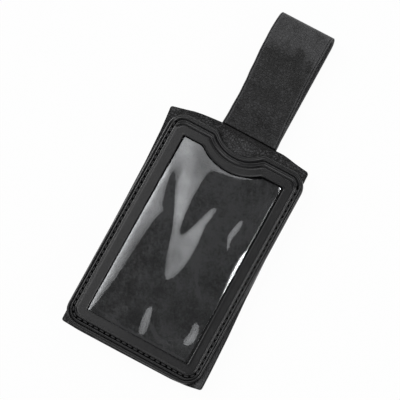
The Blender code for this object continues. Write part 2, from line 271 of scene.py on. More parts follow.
class Socket:
    """A node's output, with arithmetic that adds Math nodes."""

    def __init__(self, nodes, link):
        self.nodes, self.link = nodes, link

    def math(self, operation, *values):
        return self.nodes.node("ShaderNodeMath", {"operation": operation}, *values)

    def __add__(self, other):
        return self.math("ADD", self, other)

    def __sub__(self, other):
        return self.math("SUBTRACT", self, other)

    def __rsub__(self, other):
        return self.math("SUBTRACT", other, self)

    def __mul__(self, other):
        return self.math("MULTIPLY", self, other)

    def __abs__(self):
        return self.math("ABSOLUTE", self)

    __radd__, __rmul__ = __add__, __mul__

    def least(self, other):
        return self.math("MINIMUM", self, other)

    def clamped(self):
        return self.math("MAXIMUM", self.least(1.0), 0.0)


class Nodes:
    """The node tree of a material or a world."""

    def __init__(self, owner):
        owner.use_nodes = True
        self.tree = owner.node_tree
        self.tree.nodes.clear()

    def node(self, kind, settings=None, *values, output=0, **sockets):
        """Adds a node: its settings, then its sockets' values or links. None leaves one alone."""
        made = self.tree.nodes.new(kind)
        for key, value in (settings or {}).items():
            setattr(made, key, value)
        named_sockets = [(key.replace("_", " "), value) for key, value in sockets.items()]
        for key, value in list(enumerate(values)) + named_sockets:
            if isinstance(value, Socket):
                self.tree.links.new(value.link, made.inputs[key])
            elif value is not None:
                made.inputs[key].default_value = value
        return Socket(self, made.outputs[output]) if made.outputs else None


class Finish(Nodes):
    """One material, drawn as nodes that read the piece's own coordinates.

    A piece that bends keeps its places at rest, so that its finish goes with it.
    """

    def __init__(self, name, bends=False):
        self.material = bpy.data.materials.new(name)
        super().__init__(self.material)
        if bends:
            self.place = self.node("ShaderNodeAttribute", {"attribute_name": REST_PLACE},
                                   output="Vector")
        else:
            self.place = self.node("ShaderNodeTexCoord", output="Object")

    def axes(self, letters, place=None):
        """Coordinates of a place by their letters: the piece's own, unless another is given."""
        return [self.node("ShaderNodeSeparateXYZ", None, place or self.place, output=letter)
                for letter in letters]

    def unwrapped(self):
        """Where a point lies across and along its piece, each from 0 to 1."""
        return self.axes("XY", self.node("ShaderNodeTexCoord", output="UV"))

    def noise(self, size, detail=3.0, roughness=0.5, vector=None):
        """Soft noise of a given patch size in millimetres, from 0 to 1."""
        return self.node("ShaderNodeTexNoise", None, Vector=vector or self.place,
                         Scale=1 / (size * MM), Detail=detail, Roughness=roughness)

    def pebbles(self, size, vector, feature, output=0):
        """Leather's pebbles, of a size in millimetres."""
        return self.node("ShaderNodeTexVoronoi", {"feature": feature}, output=output,
                         Vector=vector, Scale=1 / (size * MM))

    def ease(self, start, end, value):
        """Rises softly from 0 at the start to 1 at the end."""
        return self.node("ShaderNodeMapRange", {"interpolation_type": "SMOOTHSTEP"},
                         value, start, end)

    def ease_mm(self, start, end, place):
        """The same between two places in millimetres."""
        return self.ease(start * MM, end * MM, place)

    def colour_mix(self, share, first, second):
        """A colour between two others, which are a colour Mix node's seventh and eighth socket."""
        return self.node("ShaderNodeMix", {"data_type": "RGBA"}, share, *[None] * 5,
                         first, second, output=2)

    def bump(self, height, depth, strength=1.0):
        """Relief of a given depth in millimetres."""
        return self.node("ShaderNodeBump", None, Height=height, Distance=depth * MM,
                         Strength=strength)

    def surface(self, **sockets):
        return self.laid_on(self.node("ShaderNodeBsdfPrincipled", None, **sockets))

    def laid_on(self, shader):
        self.node("ShaderNodeOutputMaterial", None, shader)
        return self.material


def opaque(colour, gain=1.0):
    return tuple(min(channel * gain, 1.0) for channel in colour[:3]) + (1.0,)


# What a user would change.

class HolderColours(bpy.types.PropertyGroup):
    """The colours that a user would change."""

    vinyl: FloatVectorProperty(name="Frame", description="Moulded vinyl of the frame",
                               subtype="COLOR", default=(0.0088, 0.0088, 0.0096))
    film: FloatVectorProperty(name="Film", description="Clear film of the window",
                              subtype="COLOR", default=(0.92, 0.94, 0.96))
    leather: FloatVectorProperty(name="Leather", description="Leather of the pouch",
                                 subtype="COLOR", default=(0.024, 0.024, 0.025))
    strap: FloatVectorProperty(name="Strap", description="Leather of the strap",
                               subtype="COLOR", default=(0.022, 0.022, 0.023))
    liner: FloatVectorProperty(name="Liner", description="Leather behind the window",
                               subtype="COLOR", default=(0.026, 0.026, 0.027))
    thread: FloatVectorProperty(name="Thread", description="Sewing thread",
                                subtype="COLOR", default=(0.022, 0.022, 0.023))
    tape: FloatVectorProperty(name="Fastener", description="Hook and loop tape",
                              subtype="COLOR", default=(0.014, 0.014, 0.015))
    floor: FloatVectorProperty(name="Floor", description="The floor that the holder lies on",
                               subtype="COLOR", default=(0.93, 0.93, 0.93))


class HolderSizes(bpy.types.PropertyGroup):
    """The sizes that a user would change."""

    stitch_pitch: FloatProperty(name="Stitch pitch", description="From one stitch to the next",
                                unit="LENGTH", default=2.9 * MM)
    thread_radius: FloatProperty(name="Thread radius", description="Half the seam thread",
                                 unit="LENGTH", default=0.37 * MM)
    camera_distance: FloatProperty(name="Camera distance",
                                   description="From the middle of the view",
                                   unit="LENGTH", default=1.2)
    picture_width: FloatProperty(name="Picture width", description="What the picture shows across",
                                 unit="LENGTH", default=181.1 * MM)


# The stage.

CAMERA_AIM = Vector((-4.37, -7.64, 11.0)) * MM
CAMERA_LEAN = (8, -5)  # degrees to the right and up from straight above
CAMERA_TURN = math.radians(-28.82)
SENSOR_WIDTH = 36.0
LAMP_HEIGHT = 2.4
MAIN_LAMP_EDGE = Vector((-0.185, 0.0, 1.0)) * LAMP_HEIGHT  # the film's waves are turned to it
STRIP_LAMP = Vector((-0.88, 0.12, 1.0)) * LAMP_HEIGHT
# A large main lamp up and to the left that faces down, a bright strip beside it, and softer low
# ones. Each has its name, its place, its width and length, how bright its face is, and its aim.
LAMPS = (
    ("main_lamp", (MAIN_LAMP_EDGE.x - 0.2 * LAMP_HEIGHT, 0.12 * LAMP_HEIGHT, LAMP_HEIGHT),
     0.4 * LAMP_HEIGHT, LAMP_HEIGHT, 1.5, "down"),
    ("main_lamp_core",
     (MAIN_LAMP_EDGE.x - 0.21 * LAMP_HEIGHT, 0.12 * LAMP_HEIGHT, LAMP_HEIGHT - 0.01),
     0.36 * LAMP_HEIGHT, LAMP_HEIGHT, 0.55, "down"),
    ("strip_lamp", STRIP_LAMP, 0.34, 1.2, 15.0, "holder"),
    ("left_lamp", (-1.9, 0.2, 1.1), 1.2, 1.0, 1.4, "holder"),
    ("right_lamp", (1.9, 0.1, 1.1), 1.2, 1.0, 2.9, "holder"),
    ("top_lamp", (0.0, 2.0, 1.1), 1.2, 1.0, 2.4, "holder"),
    ("low_lamp", (0.2, -2.0, 1.2), 1.2, 1.0, 1.3, "holder"),
)
WORLD_LIGHT = 0.16
FLOOR_SIZE, FLOOR_LEVEL = 6.0, -0.1 * MM
FLOOR_GLOW = 0.965  # how much of the floor that the camera sees is plain white


def camera_place(sizes):
    """Where the camera stands."""
    lean = Vector([math.tan(math.radians(angle)) for angle in CAMERA_LEAN] + [1.0])
    return CAMERA_AIM + lean.normalized() * sizes.camera_distance


def soft_lamp(name, location, width, length, radiance, aim):
    """A lamp with a large face: radiance is how bright it is."""
    data = bpy.data.lights.new(name, "AREA")
    data.shape = "RECTANGLE"
    data.size, data.size_y = width, length
    data.energy = radiance * math.pi * width * length
    lamp = bpy.data.objects.new(name, data)
    bpy.context.scene.collection.objects.link(lamp)
    lamp.location = location
    if aim == "holder":
        lamp.rotation_euler = (-Vector(location)).to_track_quat("-Z", "Y").to_euler()
    lamp.visible_camera = False


def floor_finish(colours):
    """A pale floor that the camera sees near white, and that keeps the object's shadow."""
    finish = Finish("pale_floor")
    tone = finish.colour_mix(finish.noise(30, 4.0), opaque(colours.floor, 0.985),
                             opaque(colours.floor))
    board = finish.node("ShaderNodeBsdfDiffuse", None, tone)
    glow = finish.node("ShaderNodeEmission", None, (1, 1, 1, 1), 1.0)
    seen = sum(finish.node("ShaderNodeLightPath", output=f"Is {kind} Ray")
               for kind in ("Camera", "Glossy", "Transmission")).clamped()
    return finish.laid_on(finish.node("ShaderNodeMixShader", None, seen * FLOOR_GLOW, board, glow))


class HOLDER_OT_stage(bpy.types.Operator):
    """Sets up the camera, the lamps, the world and the pale floor"""

    bl_idname = "holder.stage"
    bl_label = "Stage"

    def execute(self, context):
        self.add_camera(context)
        for lamp in LAMPS:
            soft_lamp(*lamp)
        self.add_world(context)
        self.add_floor(context)
        context.scene.view_settings.view_transform = "Standard"
        return {"FINISHED"}

    def add_camera(self, context):
        sizes = context.scene.holder_sizes
        place = camera_place(sizes)
        bpy.ops.object.camera_add(location=place)
        camera = context.object
        camera.name = "camera"
        up = Vector((math.sin(CAMERA_TURN), math.cos(CAMERA_TURN), 0))
        back = (place - CAMERA_AIM).normalized()
        right = up.cross(back).normalized()
        stance = Matrix((right, back.cross(right), back)).transposed().to_4x4()
        stance.translation = place
        camera.matrix_world = stance
        camera.data.sensor_width = SENSOR_WIDTH
        camera.data.lens = SENSOR_WIDTH * sizes.camera_distance / sizes.picture_width
        camera.data.clip_end = 20
        context.scene.camera = camera

    def add_world(self, context):
        """Plain white for the camera, and a little light from all round."""
        world = context.scene.world = bpy.data.worlds.new("plain_world")
        nodes = Nodes(world)
        light, white = [nodes.node("ShaderNodeBackground", None, (1, 1, 1, 1), strength)
                        for strength in (WORLD_LIGHT, 1.0)]
        seen = nodes.node("ShaderNodeLightPath", output="Is Camera Ray")
        nodes.node("ShaderNodeOutputWorld", None,
                   nodes.node("ShaderNodeMixShader", None, seen, light, white))

    def add_floor(self, context):
        deselect()
        bpy.ops.mesh.primitive_plane_add(size=FLOOR_SIZE, location=(0, 0, FLOOR_LEVEL))
        floor = named("floor")
        floor.data.materials.append(floor_finish(context.scene.holder_colours))


# The pouch's leather.

# Its four edges in millimetres: the sides as (y, x), the top and bottom as (x, y).
LEATHER_LEFT = ((-85.1, -33.6), (-40, -34.55), (-4, -35.15), (12, -35.95), (18, -36.5),
                (24.3, -37.2))
LEATHER_RIGHT = ((-82.9, 37.4), (-74, 37.2), (-56, 36.5), (-38, 35.3), (0, 33.9), (26.55, 32.9))
LEATHER_TOP = ((-37.2, 24.3), (-31, 25.8), (-26, 27.15), (-21, 27.85), (-12.6, 28.6), (0, 28.6),
               (14.5, 28.4), (18.3, 28.55), (21.3, 28.25), (24.3, 27.65), (27.3, 27.2),
               (32.9, 26.55))
LEATHER_BOTTOM = ((-33.6, -85.1), (-25, -85.5), (-5, -85.35), (23, -84.95), (31, -84.2),
                  (37.4, -82.9))
LEATHER_GRID = (61, 91)
LEATHER_CORNER, LEATHER_EDGE = 1.0 * MM, 0.25 * MM
FRONT_CURL, BACK_CURL = 0.6 * MM, 0.4 * MM  # how far the lower right corner lifts
SLOT_SPAN, SLOT_DIP = (-11.5, 13.6), 0.45 * MM  # where the top edge gives way to the strap
SHEET_WIDTH, SHEET_LENGTH = 71 * MM, 111 * MM
# How far the black of the dyed edges and their painted shade runs onto the faces.
DYE_AND_SHADE_MARGIN = 0.4 * MM
PEBBLE, RELIEF = 1.25, 0.45  # the size and depth of the grain, in millimetres
# Rubbed creases in the leather behind the window, each from one place to another.
LINER_CREASES = (
    ((7, -30.5), (10.5, -38.5)), ((10.5, -38.5), (16, -46)), ((1.5, -66.5), (7.5, -71.3)),
    ((7.5, -71.3), (17, -72)), ((13.5, -69.5), (19.5, -67.5)), ((4, -18), (15, -20.5)),
    ((-14, -75), (24, -75)),
)


def grained(finish, colour, pebble, relief, rub_and_painted_light):
    """Leather's grain: uneven pebbles with creases between them, specks, rubbed places and painted
    light.
    """
    bent = finish.node("ShaderNodeVectorMath", {"operation": "MULTIPLY_ADD"},
                       finish.node("ShaderNodeTexNoise", None, Vector=finish.place,
                                   Scale=1 / (1.3 * MM), output="Color"),
                       (0.8 * MM,) * 3, finish.place)
    creases = finish.ease(0.02, 0.24, finish.pebbles(pebble, bent, "DISTANCE_TO_EDGE"))
    chance = finish.pebbles(pebble, bent, "F1", "Color")
    fine = finish.noise(0.5, 3.0, 0.65)
    wander = finish.noise(2.4, 3.0)
    cloud = finish.noise(6, 3.0, 0.6)
    speck = finish.ease(0.54, 0.66, finish.noise(0.85, 2.0, 0.7))
    lively = 1.3 * relief / RELIEF
    share = (creases * 0.4 + (chance - 0.5) * 0.7 + (cloud - 0.5) * 1.1 + speck * 0.6
             - 0.35) * lively + rub_and_painted_light + 0.24
    tone = finish.colour_mix(share.clamped(), opaque(colour, 0.2), opaque(colour, 2.9))
    height = creases * 0.8 + chance * 0.5 + fine * 0.4 + wander * 0.8
    return tone, 0.4 + fine * 0.15 + cloud * 0.1 + chance * 0.12, height


def leather_finish(name, colour, pebble, relief, wear_and_painted_light, dye_and_painted_shade, bends=False):
    """Grained leather, with its rubbed places and painted light, and its black dyed edges and
    painted shade, each from a function of the finish.
    """
    finish = Finish(name, bends)
    tone, rough, height = grained(finish, colour, pebble, relief, wear_and_painted_light(finish))
    black = dye_and_painted_shade(finish)
    return finish.surface(
        Base_Color=finish.colour_mix(black, tone, opaque(colour, DYE_AND_SHADE_BLACK)),
        Roughness=rough,
        Metallic=black * DARK_METAL,
        Normal=finish.bump(height, relief, 0.9),
    )


def front_leather_finish(colours):
    """Grained leather above the frame, and its matt mottled side behind the window, with painted
    shade, black, along the window's right edge.
    """
    finish = Finish("front_leather")
    x, y = finish.axes("XY")
    pocket = finish.ease_mm(15.5, 14, y) * finish.ease_mm(29, 27, abs(x))
    tone, rough, height = grained(finish, colours.leather, PEBBLE, RELIEF, notch_wear_and_painted_light(finish, x, y))
    mottle, nap = mottled(finish, x, y)
    matt = finish.colour_mix(mottle, opaque(colours.liner, 0.3), opaque(colours.liner, 2.9))
    # Painted shade: a black line on the leather along the window's right edge, where the lip meets
    # the film.
    window_edge_shade = finish.ease_mm(25.15, 25.4, x) * pocket
    black = (sheet_dye_and_painted_shade(finish) + window_edge_shade).clamped()
    return finish.surface(
        Base_Color=finish.colour_mix(black, finish.colour_mix(pocket, tone, matt),
                                     opaque(colours.leather, DYE_AND_SHADE_BLACK)),
        Roughness=rough + pocket * 0.16,
        Metallic=black * DARK_METAL,
        Normal=finish.bump(height + (nap - height) * pocket * 0.8, RELIEF, 0.9),
    )


def mottled(finish, x, y):
    """The tone and nap behind the window: clouds, slanting streaks, low folds and creases."""
    cloud = finish.noise(12, 5.0, 0.65)
    nap = finish.noise(1.3, 4.0, 0.7)
    slant = finish.node("ShaderNodeMapping", {"vector_type": "TEXTURE"}, finish.place,
                        Rotation=(0, 0, math.radians(30)), Scale=(1.0, 3.6, 1.0))
    streak = finish.noise(2.8, 4.0, 0.65, slant)
    scratch = finish.ease(0.6, 0.68, finish.noise(1.4, 2.0, 0.5, slant))
    drawn_out = finish.node("ShaderNodeMapping", None, finish.place, Scale=(0.2, 1, 1))
    fold = (finish.ease(0.52, 0.62, finish.noise(1.5, 3.0, 0.6, drawn_out))
            * finish.ease_mm(-66, -70, y))
    # Lighter towards the top.
    lighter_upwards = finish.ease_mm(-75, 5, y)
    sway = (finish.noise(5, 3.0) - 0.5) * (3 * MM)
    creases = sum(crease(finish, x, y, start, end, sway) for start, end in LINER_CREASES)
    share = (cloud * 0.5 + streak * 0.2 + nap * 0.32 + lighter_upwards * 0.09 + scratch * 0.035
             + fold * 0.05 + creases * 0.15)
    return finish.ease(0.42, 0.66, share), nap * 1.6 + cloud * 1.2


def crease(finish, x, y, start, end, sway):
    """A rubbed crease between two places in millimetres, soft at its ends."""
    run = Vector(end) - Vector(start)
    ahead = run.normalized()
    dx, dy = x - start[0] * MM, y - start[1] * MM
    way = dx * ahead.x + dy * ahead.y
    off = abs(dx * ahead.y - dy * ahead.x + sway)
    return (finish.ease_mm(1.3, 0.2, off) * finish.ease_mm(-1.5, 1, way)
            * finish.ease_mm(run.length + 1.5, run.length - 1, way))


def notch_wear_and_painted_light(finish, x, y):
    """Thumbs rub the leather lighter in the notch; it is a little lighter along the bottom edge;
    painted shade darkens it below the strap's slot, and painted light lightens it right of the
    frame's lower half, where the frame's shadow falls.
    """
    notch = finish.ease_mm(14, 6, abs(x)) * finish.ease_mm(28, 24, y)
    # Painted shade below the strap's slot.
    slot_shade = finish.ease_mm(25.6, 27.6, y) * finish.ease_mm(14.0, 12.2, abs(x - 1.2 * MM))
    # Painted light right of the frame's lower half, where the frame casts its shadow.
    corner = finish.ease_mm(33, 35.5, x) * finish.ease_mm(-30, -52, y)
    hem = finish.ease_mm(-82, -84, y)
    return notch * 0.4 - slot_shade * 1.4 + corner * 2.2 + hem * 0.25 + 0.05


def back_wear(finish):
    """The back is rubbed in broad soft places where it lies against clothes."""
    return (finish.noise(24, 2.0) - 0.5) * 0.5


def sheet_dye_and_painted_shade(finish):
    """Black along a sheet's edges: dye on its cut edges, and painted shade that runs a little onto
    its faces.
    """
    across, up = finish.unwrapped()
    gap = ((0.5 - abs(across - 0.5)) * SHEET_WIDTH).least((0.5 - abs(up - 0.5)) * SHEET_LENGTH)
    return finish.ease(DYE_AND_SHADE_MARGIN, DYE_AND_SHADE_MARGIN * 0.4, gap)


def leather_point(a, b, level, curl):
    """A point of the leather: a across and b up, both from 0 to 1, between its four edges."""
    low_y = (LEATHER_LEFT[0][0] + (LEATHER_RIGHT[0][0] - LEATHER_LEFT[0][0]) * a)
    high_y = (LEATHER_LEFT[-1][0] + (LEATHER_RIGHT[-1][0] - LEATHER_LEFT[-1][0]) * a)
    y = low_y + (high_y - low_y) * b
    x = along(LEATHER_LEFT, y) * (1 - a) + along(LEATHER_RIGHT, y) * a
    y += (along(LEATHER_TOP, x) - high_y) * ease(0.7, 1, b)
    y += (along(LEATHER_BOTTOM, x) - low_y) * ease(0.25, 0, b)
    lift = curl * ease(0.75, 1, a) * ease(0.15, 0, b)
    left, right = SLOT_SPAN
    dip = SLOT_DIP * ease(left, left + 2, x) * ease(right, right - 2, x) * ease(26.6, 28.5, y)
    return Vector((x * MM, y * MM, level + lift - dip))


def leather_sheet(name, low, high, curl, material):
    """One sheet of the pouch's leather, with cut edges and slightly rounded corners."""
    columns, rows = LEATHER_GRID
    thickness = high.z - low.z

    def place(column, row):
        return leather_point(column / (columns - 1), row / (rows - 1), low.z + thickness / 2, curl)

    sheet = laid_skin(name, columns, rows, place)
    with editing(sheet) as mesh:
        for vertex in mesh.verts:
            vertex.select = len(vertex.link_edges) == 2
        mesh.select_flush_mode()
        bmesh.update_edit_mesh(sheet.data)
        bpy.ops.mesh.bevel(offset=LEATHER_CORNER, segments=4, affect="VERTICES", clamp_overlap=True)
    modify(sheet, "SOLIDIFY", thickness=thickness, offset=0)
    modify(sheet, "BEVEL", width=LEATHER_EDGE, segments=2, limit_method="ANGLE")
    return dress(sheet, material)


class HOLDER_OT_leather(bpy.types.Operator):
    """Cuts the pouch's front and back leather"""

    bl_idname = "holder.leather"
    bl_label = "Leather"

    def execute(self, context):
        colours = context.scene.holder_colours
        front = leather_sheet("front_leather", LINER_LOW, LINER_HIGH, FRONT_CURL,
                              front_leather_finish(colours))
        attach(front, "pouch")
        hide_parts("pocket_liner")
        back = leather_sheet("back_leather", BACK_LOW, BACK_HIGH, BACK_CURL,
                             leather_finish("back_leather", colours.leather, PEBBLE, RELIEF,
                                            back_wear, sheet_dye_and_painted_shade))
        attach(back, "pouch")
        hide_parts("back_panel")
        return {"FINISHED"}


# The strap.

# Half of its section, from the middle of its outer face to the middle of its inner one, with the
# creased line beside its edge, as shares of half its width and of half its thickness.
STRAP_SIDE = (
    (0.0, 1.0), (0.25, 1.0), (0.5, 1.0), (0.72, 1.0), (0.85, 1.0), (0.90, 1.03), (0.93, 0.99),
    (0.948, 0.86), (0.966, 0.99), (0.98, 1.02), (0.993, 0.84), (1.0, 0.35), (1.0, -0.35),
    (0.992, -0.7), (0.975, -0.9), (0.93, -1.0), (0.5, -1.0), (0.0, -1.0),
)
STRAP_SECTION = STRAP_SIDE + tuple((-x, z) for x, z in STRAP_SIDE[-2:0:-1])
STRAP_HALF = 1.0 * MM
STRAP_PEBBLE, STRAP_RELIEF = 1.3, 0.2
# Points of the section, counted from the middle of the inner face: its edge, the creased line, and
# the beads beside it with their reach and core; the beads are painted lighter, partly as wear and
# partly as a painted highlight.
EDGE_TURN, CREASE_TURN = 5.4, 10
BEADS = ((8.3, 1.5, 0.6), (11.6, 1.2, 0.4))
# The front leg's edges in millimetres as (y, x), and where the tail's edges are behind it.
LEG_LEFT = ((29, -13.3), (36, -12.95), (44, -12.55), (50, -12.8), (57, -13.35), (69, -14.0),
            (77, -14.15), (86, -13.75))
LEG_RIGHT = ((29, 14.7), (36, 14.4), (44, 13.9), (50, 13.65), (59, 13.15), (70, 12.95), (84, 13.1))
TAIL_LEFT, TAIL_RIGHT = -12.9, 13.85
TAIL_CORNER = 4.0 * MM
# The levels of the strap's middle, the fold's radius, and how the leg rises from its root.
LEG_LEVEL, SEWN_LEVEL, TAIL_LEVEL = 9.0 * MM, 5.9 * MM, 1.0 * MM
FOLD_RADIUS, FOLD_DROP = 4.0 * MM, 2.35 * MM
ROOT_REACH, RISE_LENGTH = 1.6 * MM, 14.0 * MM
RISE_STEPS, LEG_STEPS, FOLD_STEPS, TAIL_STEPS, SEWN_STEPS = 16, 24, 28, 44, 30
LEG_END = 68 * MM  # where the front leg and the loop meet


def strap_turn(finish):
    """How far round its section a point of the strap lies from the middle of its inner face."""
    around, _ = finish.unwrapped()
    count = len(STRAP_SECTION)
    return abs(around * count - count / 2)


def strap_wear_and_painted_light(finish):
    """Painted light: the strap is lighter at its root and towards its fold, where its curve catches
    the lamps, and on the tail where the front leg's shadow falls; its creased edges are lighter,
    partly rubbed and partly a painted highlight; the rest is uneven wear.
    """
    y, z = finish.axes("YZ")
    patchy = y + (finish.noise(9, 4.0, 0.65) - 0.5) * (22 * MM)
    turn = strap_turn(finish)
    bead_wear_and_highlight = sum(finish.ease(reach, core, abs(turn - where)) for where, reach, core in BEADS)
    worn = finish.ease(0.35, 0.55, finish.noise(9, 3.0, 0.6)) - 0.5
    return (finish.ease_mm(67, 77, patchy) * 0.64 + finish.ease_mm(48, 40, patchy) * 0.16
            + finish.ease_mm(4, 2, z) * finish.ease_mm(24, 50, y) * 1.2
            + bead_wear_and_highlight * 0.6 + worn * 0.32 - 0.21)


def strap_dye_and_painted_shade(finish):
    """Painted shade, black, in the slot that the strap comes out of; black dye on its cut edges;
    darker along the creased line.
    """
    y, z = finish.axes("YZ")
    turn = strap_turn(finish)
    slot_shade = finish.ease_mm(29.6, 29.1, y) * finish.ease_mm(5, 6, z)
    edge = finish.ease(1.3, 0.8, abs(turn - EDGE_TURN)) * finish.ease_mm(3, 5, z)
    line = finish.ease(0.8, 0.2, abs(turn - CREASE_TURN)) * 0.7
    return (slot_shade + edge + line).clamped()


def leg_line():
    """The strap's middle line as (y, z, slope), from its root over the belt to the tail's end."""
    rise = LEG_LEVEL - FLEX_AXIS.z
    leg_y, top_y, end_y = FLEX_AXIS.y + RISE_LENGTH, PEEL_AXIS.y - FOLD_DROP, TAIL_LOW.y
    line = [(FLEX_AXIS.y - ROOT_REACH, FLEX_AXIS.z, 0.0)]
    for i in range(RISE_STEPS + 1):
        share = i / RISE_STEPS
        line.append((FLEX_AXIS.y + RISE_LENGTH * share, FLEX_AXIS.z + rise * ease(0, 1, share),
                     math.atan(rise / RISE_LENGTH * 6 * share * (1 - share))))
    line += [(leg_y + (top_y - leg_y) * i / LEG_STEPS, LEG_LEVEL, 0.0)
             for i in range(1, LEG_STEPS + 1)]
    for i in range(1, FOLD_STEPS + 1):
        turn = math.pi * i / FOLD_STEPS
        line.append((top_y + FOLD_RADIUS * math.sin(turn),
                     PEEL_AXIS.z + FOLD_RADIUS * math.cos(turn), -turn))
    line += [(top_y + (end_y - top_y) * i / TAIL_STEPS, TAIL_LEVEL, -math.pi)
             for i in range(1, TAIL_STEPS + 1)]
    return line


def sewn_line():
    """The middle line of the sewn end, behind the pouch."""
    return [(ANCHOR_HIGH.y + (ANCHOR_LOW.y - ANCHOR_HIGH.y) * i / SEWN_STEPS, SEWN_LEVEL, -math.pi)
            for i in range(SEWN_STEPS + 1)]


def strap_edges(y, level):
    """The strap's left and right edge at a place: the front leg is slightly waisted."""
    left, right = through(LEG_LEFT, y / MM), through(LEG_RIGHT, y / MM)
    behind = ease(9, 1, level / MM) if y > 60 * MM or level < 4 * MM else 0.0
    return ((left + (TAIL_LEFT - left) * behind) * MM, (right + (TAIL_RIGHT - right) * behind) * MM)


def tail_narrowing(y, z):
    """How much the tail's rounded corners take off each side near its free end."""
    left = y - TAIL_LOW.y
    if z > 2 * MM or left >= TAIL_CORNER:
        return 0.0
    return TAIL_CORNER - math.sqrt(max(TAIL_CORNER**2 - (TAIL_CORNER - left) ** 2, 0))


def strap_strip(name, line, material):
    """One closed stretch of the strap along a middle line, which keeps its places at rest."""
    count = len(STRAP_SECTION)

    def place(column, row):
        share, height = STRAP_SECTION[column % count]
        y, z, slope = line[row]
        left, right = strap_edges(y, z)
        x = (left + right) / 2 + share * ((right - left) / 2 - tail_narrowing(y, z))
        offset = height * STRAP_HALF
        return Vector((x, y - offset * math.sin(slope), z + offset * math.cos(slope)))

    strip = laid_skin(name, count + 1, len(line), place, closed=True)
    close_ends(strip)
    marks = strip.data.attributes.new(REST_PLACE, "FLOAT_VECTOR", "POINT")
    for point, mark in zip(strip.data.vertices, marks.data):
        mark.vector = point.co
    return dress(strip, material)


class HOLDER_OT_strap(bpy.types.Operator):
    """Cuts the strap: its sewn end, its front leg, and the loop with the tail"""

    bl_idname = "holder.strap"
    bl_label = "Strap"

    def execute(self, context):
        leather = leather_finish("strap_leather", context.scene.holder_colours.strap, STRAP_PEBBLE,
                                 STRAP_RELIEF, strap_wear_and_painted_light, strap_dye_and_painted_shade, bends=True)
        line = leg_line()
        meet = next(i for i, (y, z, slope) in enumerate(line) if y > LEG_END)
        leg = strap_strip("front_leg", line[:meet + 1], leather)
        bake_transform(leg)
        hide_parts("strap_front")
        loop = strap_strip("belt_loop", line[meet:], leather)
        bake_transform(loop)
        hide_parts("strap_fold", "strap_tail")
        sewn = strap_strip("sewn_end", sewn_line(), leather)
        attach(sewn, "pouch")
        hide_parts("strap_anchor")
        return {"FINISHED"}


# The stitches.

STITCH_SHARE = 0.82  # of the pitch, between a stitch's two holes
STITCH_SIDES, STITCH_POINTS = 8, 9
STITCH_RISE, STITCH_DIP = 0.15 * MM, 0.85 * MM
STITCH_TAPER = 0.25


def thread_finish(colours):
    """Bonded thread: its fibres show as fine uneven tone and relief."""
    finish = Finish("bonded_thread")
    fibre = finish.noise(0.2, 3.0, 0.6)
    tone = finish.colour_mix(fibre, opaque(colours.thread, 0.7), opaque(colours.thread, 2.2))
    return finish.surface(Base_Color=tone, Roughness=0.42 + fibre * 0.2,
                          Normal=finish.bump(fibre, 0.08))


def stitch(name, material):
    """One stitch at the origin along Y: a thread that rises out of its hole and dips again."""
    sizes = bpy.context.scene.holder_sizes
    half = sizes.stitch_pitch * STITCH_SHARE / 2

    def place(column, row):
        share = 2 * row / (STITCH_POINTS - 1) - 1
        turn = 2 * math.pi * (column % STITCH_SIDES) / STITCH_SIDES
        swell = sizes.thread_radius * (1 - STITCH_TAPER * share**4)
        arch = STITCH_RISE - STITCH_DIP * share**6
        return Vector((swell * math.cos(turn), share * half, arch + swell * math.sin(turn)))

    piece = laid_skin(name, STITCH_SIDES + 1, STITCH_POINTS, place, closed=True)
    close_ends(piece)
    piece.data.materials.append(material)
    return piece


def walk(route, pitch, closed):
    """Points and headings at even steps along a route."""
    points = [Vector(point) for point in route]
    if closed:
        points.append(points[0])
    lengths = [(b - a).length for a, b in zip(points, points[1:])]
    total = sum(lengths)
    count = max(int(round(total / pitch)), 1)
    places, index, passed = [], 0, 0.0
    for i in range(count):
        target = (i + 0.5) * total / count
        while index < len(lengths) - 1 and passed + lengths[index] < target:
            passed += lengths[index]
            index += 1
        a, b = points[index], points[index + 1]
        places.append((a.lerp(b, (target - passed) / lengths[index]), (b - a).normalized()))
    return places


def sewn_row(name, route, level, facing, material, pitch, closed=False, scale=1.0):
    """A row of stitches along a route, each a copy of the one that is modelled, a little uneven."""
    first = stitch(name, material)
    copies = []
    for i, (point, heading) in enumerate(walk(route, pitch, closed)):
        copy = copy_of(first)
        turn = math.atan2(-heading.x, heading.y) + math.radians(3.0) * math.sin(i * 2.4)
        sway = 0.05 * MM * math.sin(i * 1.7)
        for vertex in copy.data.vertices:
            x, y, z = vertex.co * scale
            x, z = x * facing, z * facing
            vertex.co = (point.x + x * math.cos(turn) - y * math.sin(turn) + sway * heading.y,
                         point.y + x * math.sin(turn) + y * math.cos(turn) - sway * heading.x,
                         level + z)
        copies.append(copy)
    bpy.data.objects.remove(first)
    return dress(join(copies, name), material)


# The touch fastener.

# One bent hook and one loop of fibre, as (y, z) in millimetres.
HOOK_LINE = ((0, 0), (0, 0.36), (0.04, 0.5), (0.15, 0.58), (0.28, 0.52), (0.32, 0.4))
LOOP_LINE = ((-0.3, 0), (-0.34, 0.25), (-0.2, 0.46), (0.05, 0.54), (0.27, 0.44), (0.36, 0.22),
             (0.28, 0))
FIBRE_SIDES, FIBRE_RADIUS = 4, 0.085
HOOK_PITCH, LOOP_PITCH = 1.2 * MM, 1.0 * MM
HOOK_WEAVE, LOOP_WEAVE = 1.0, 0.8
TAPE_SHARE = 0.4  # how much of a patch's thickness is its woven tape
TAPE_EDGE = 0.12 * MM
PATCH_CORNER, PATCH_STEPS = 3.0 * MM, 6
PATCH_SEAM, PATCH_PITCH = 1.8 * MM, 2.4 * MM
PATCH_THREAD = 0.7  # the patches' stitches are smaller than the pouch's


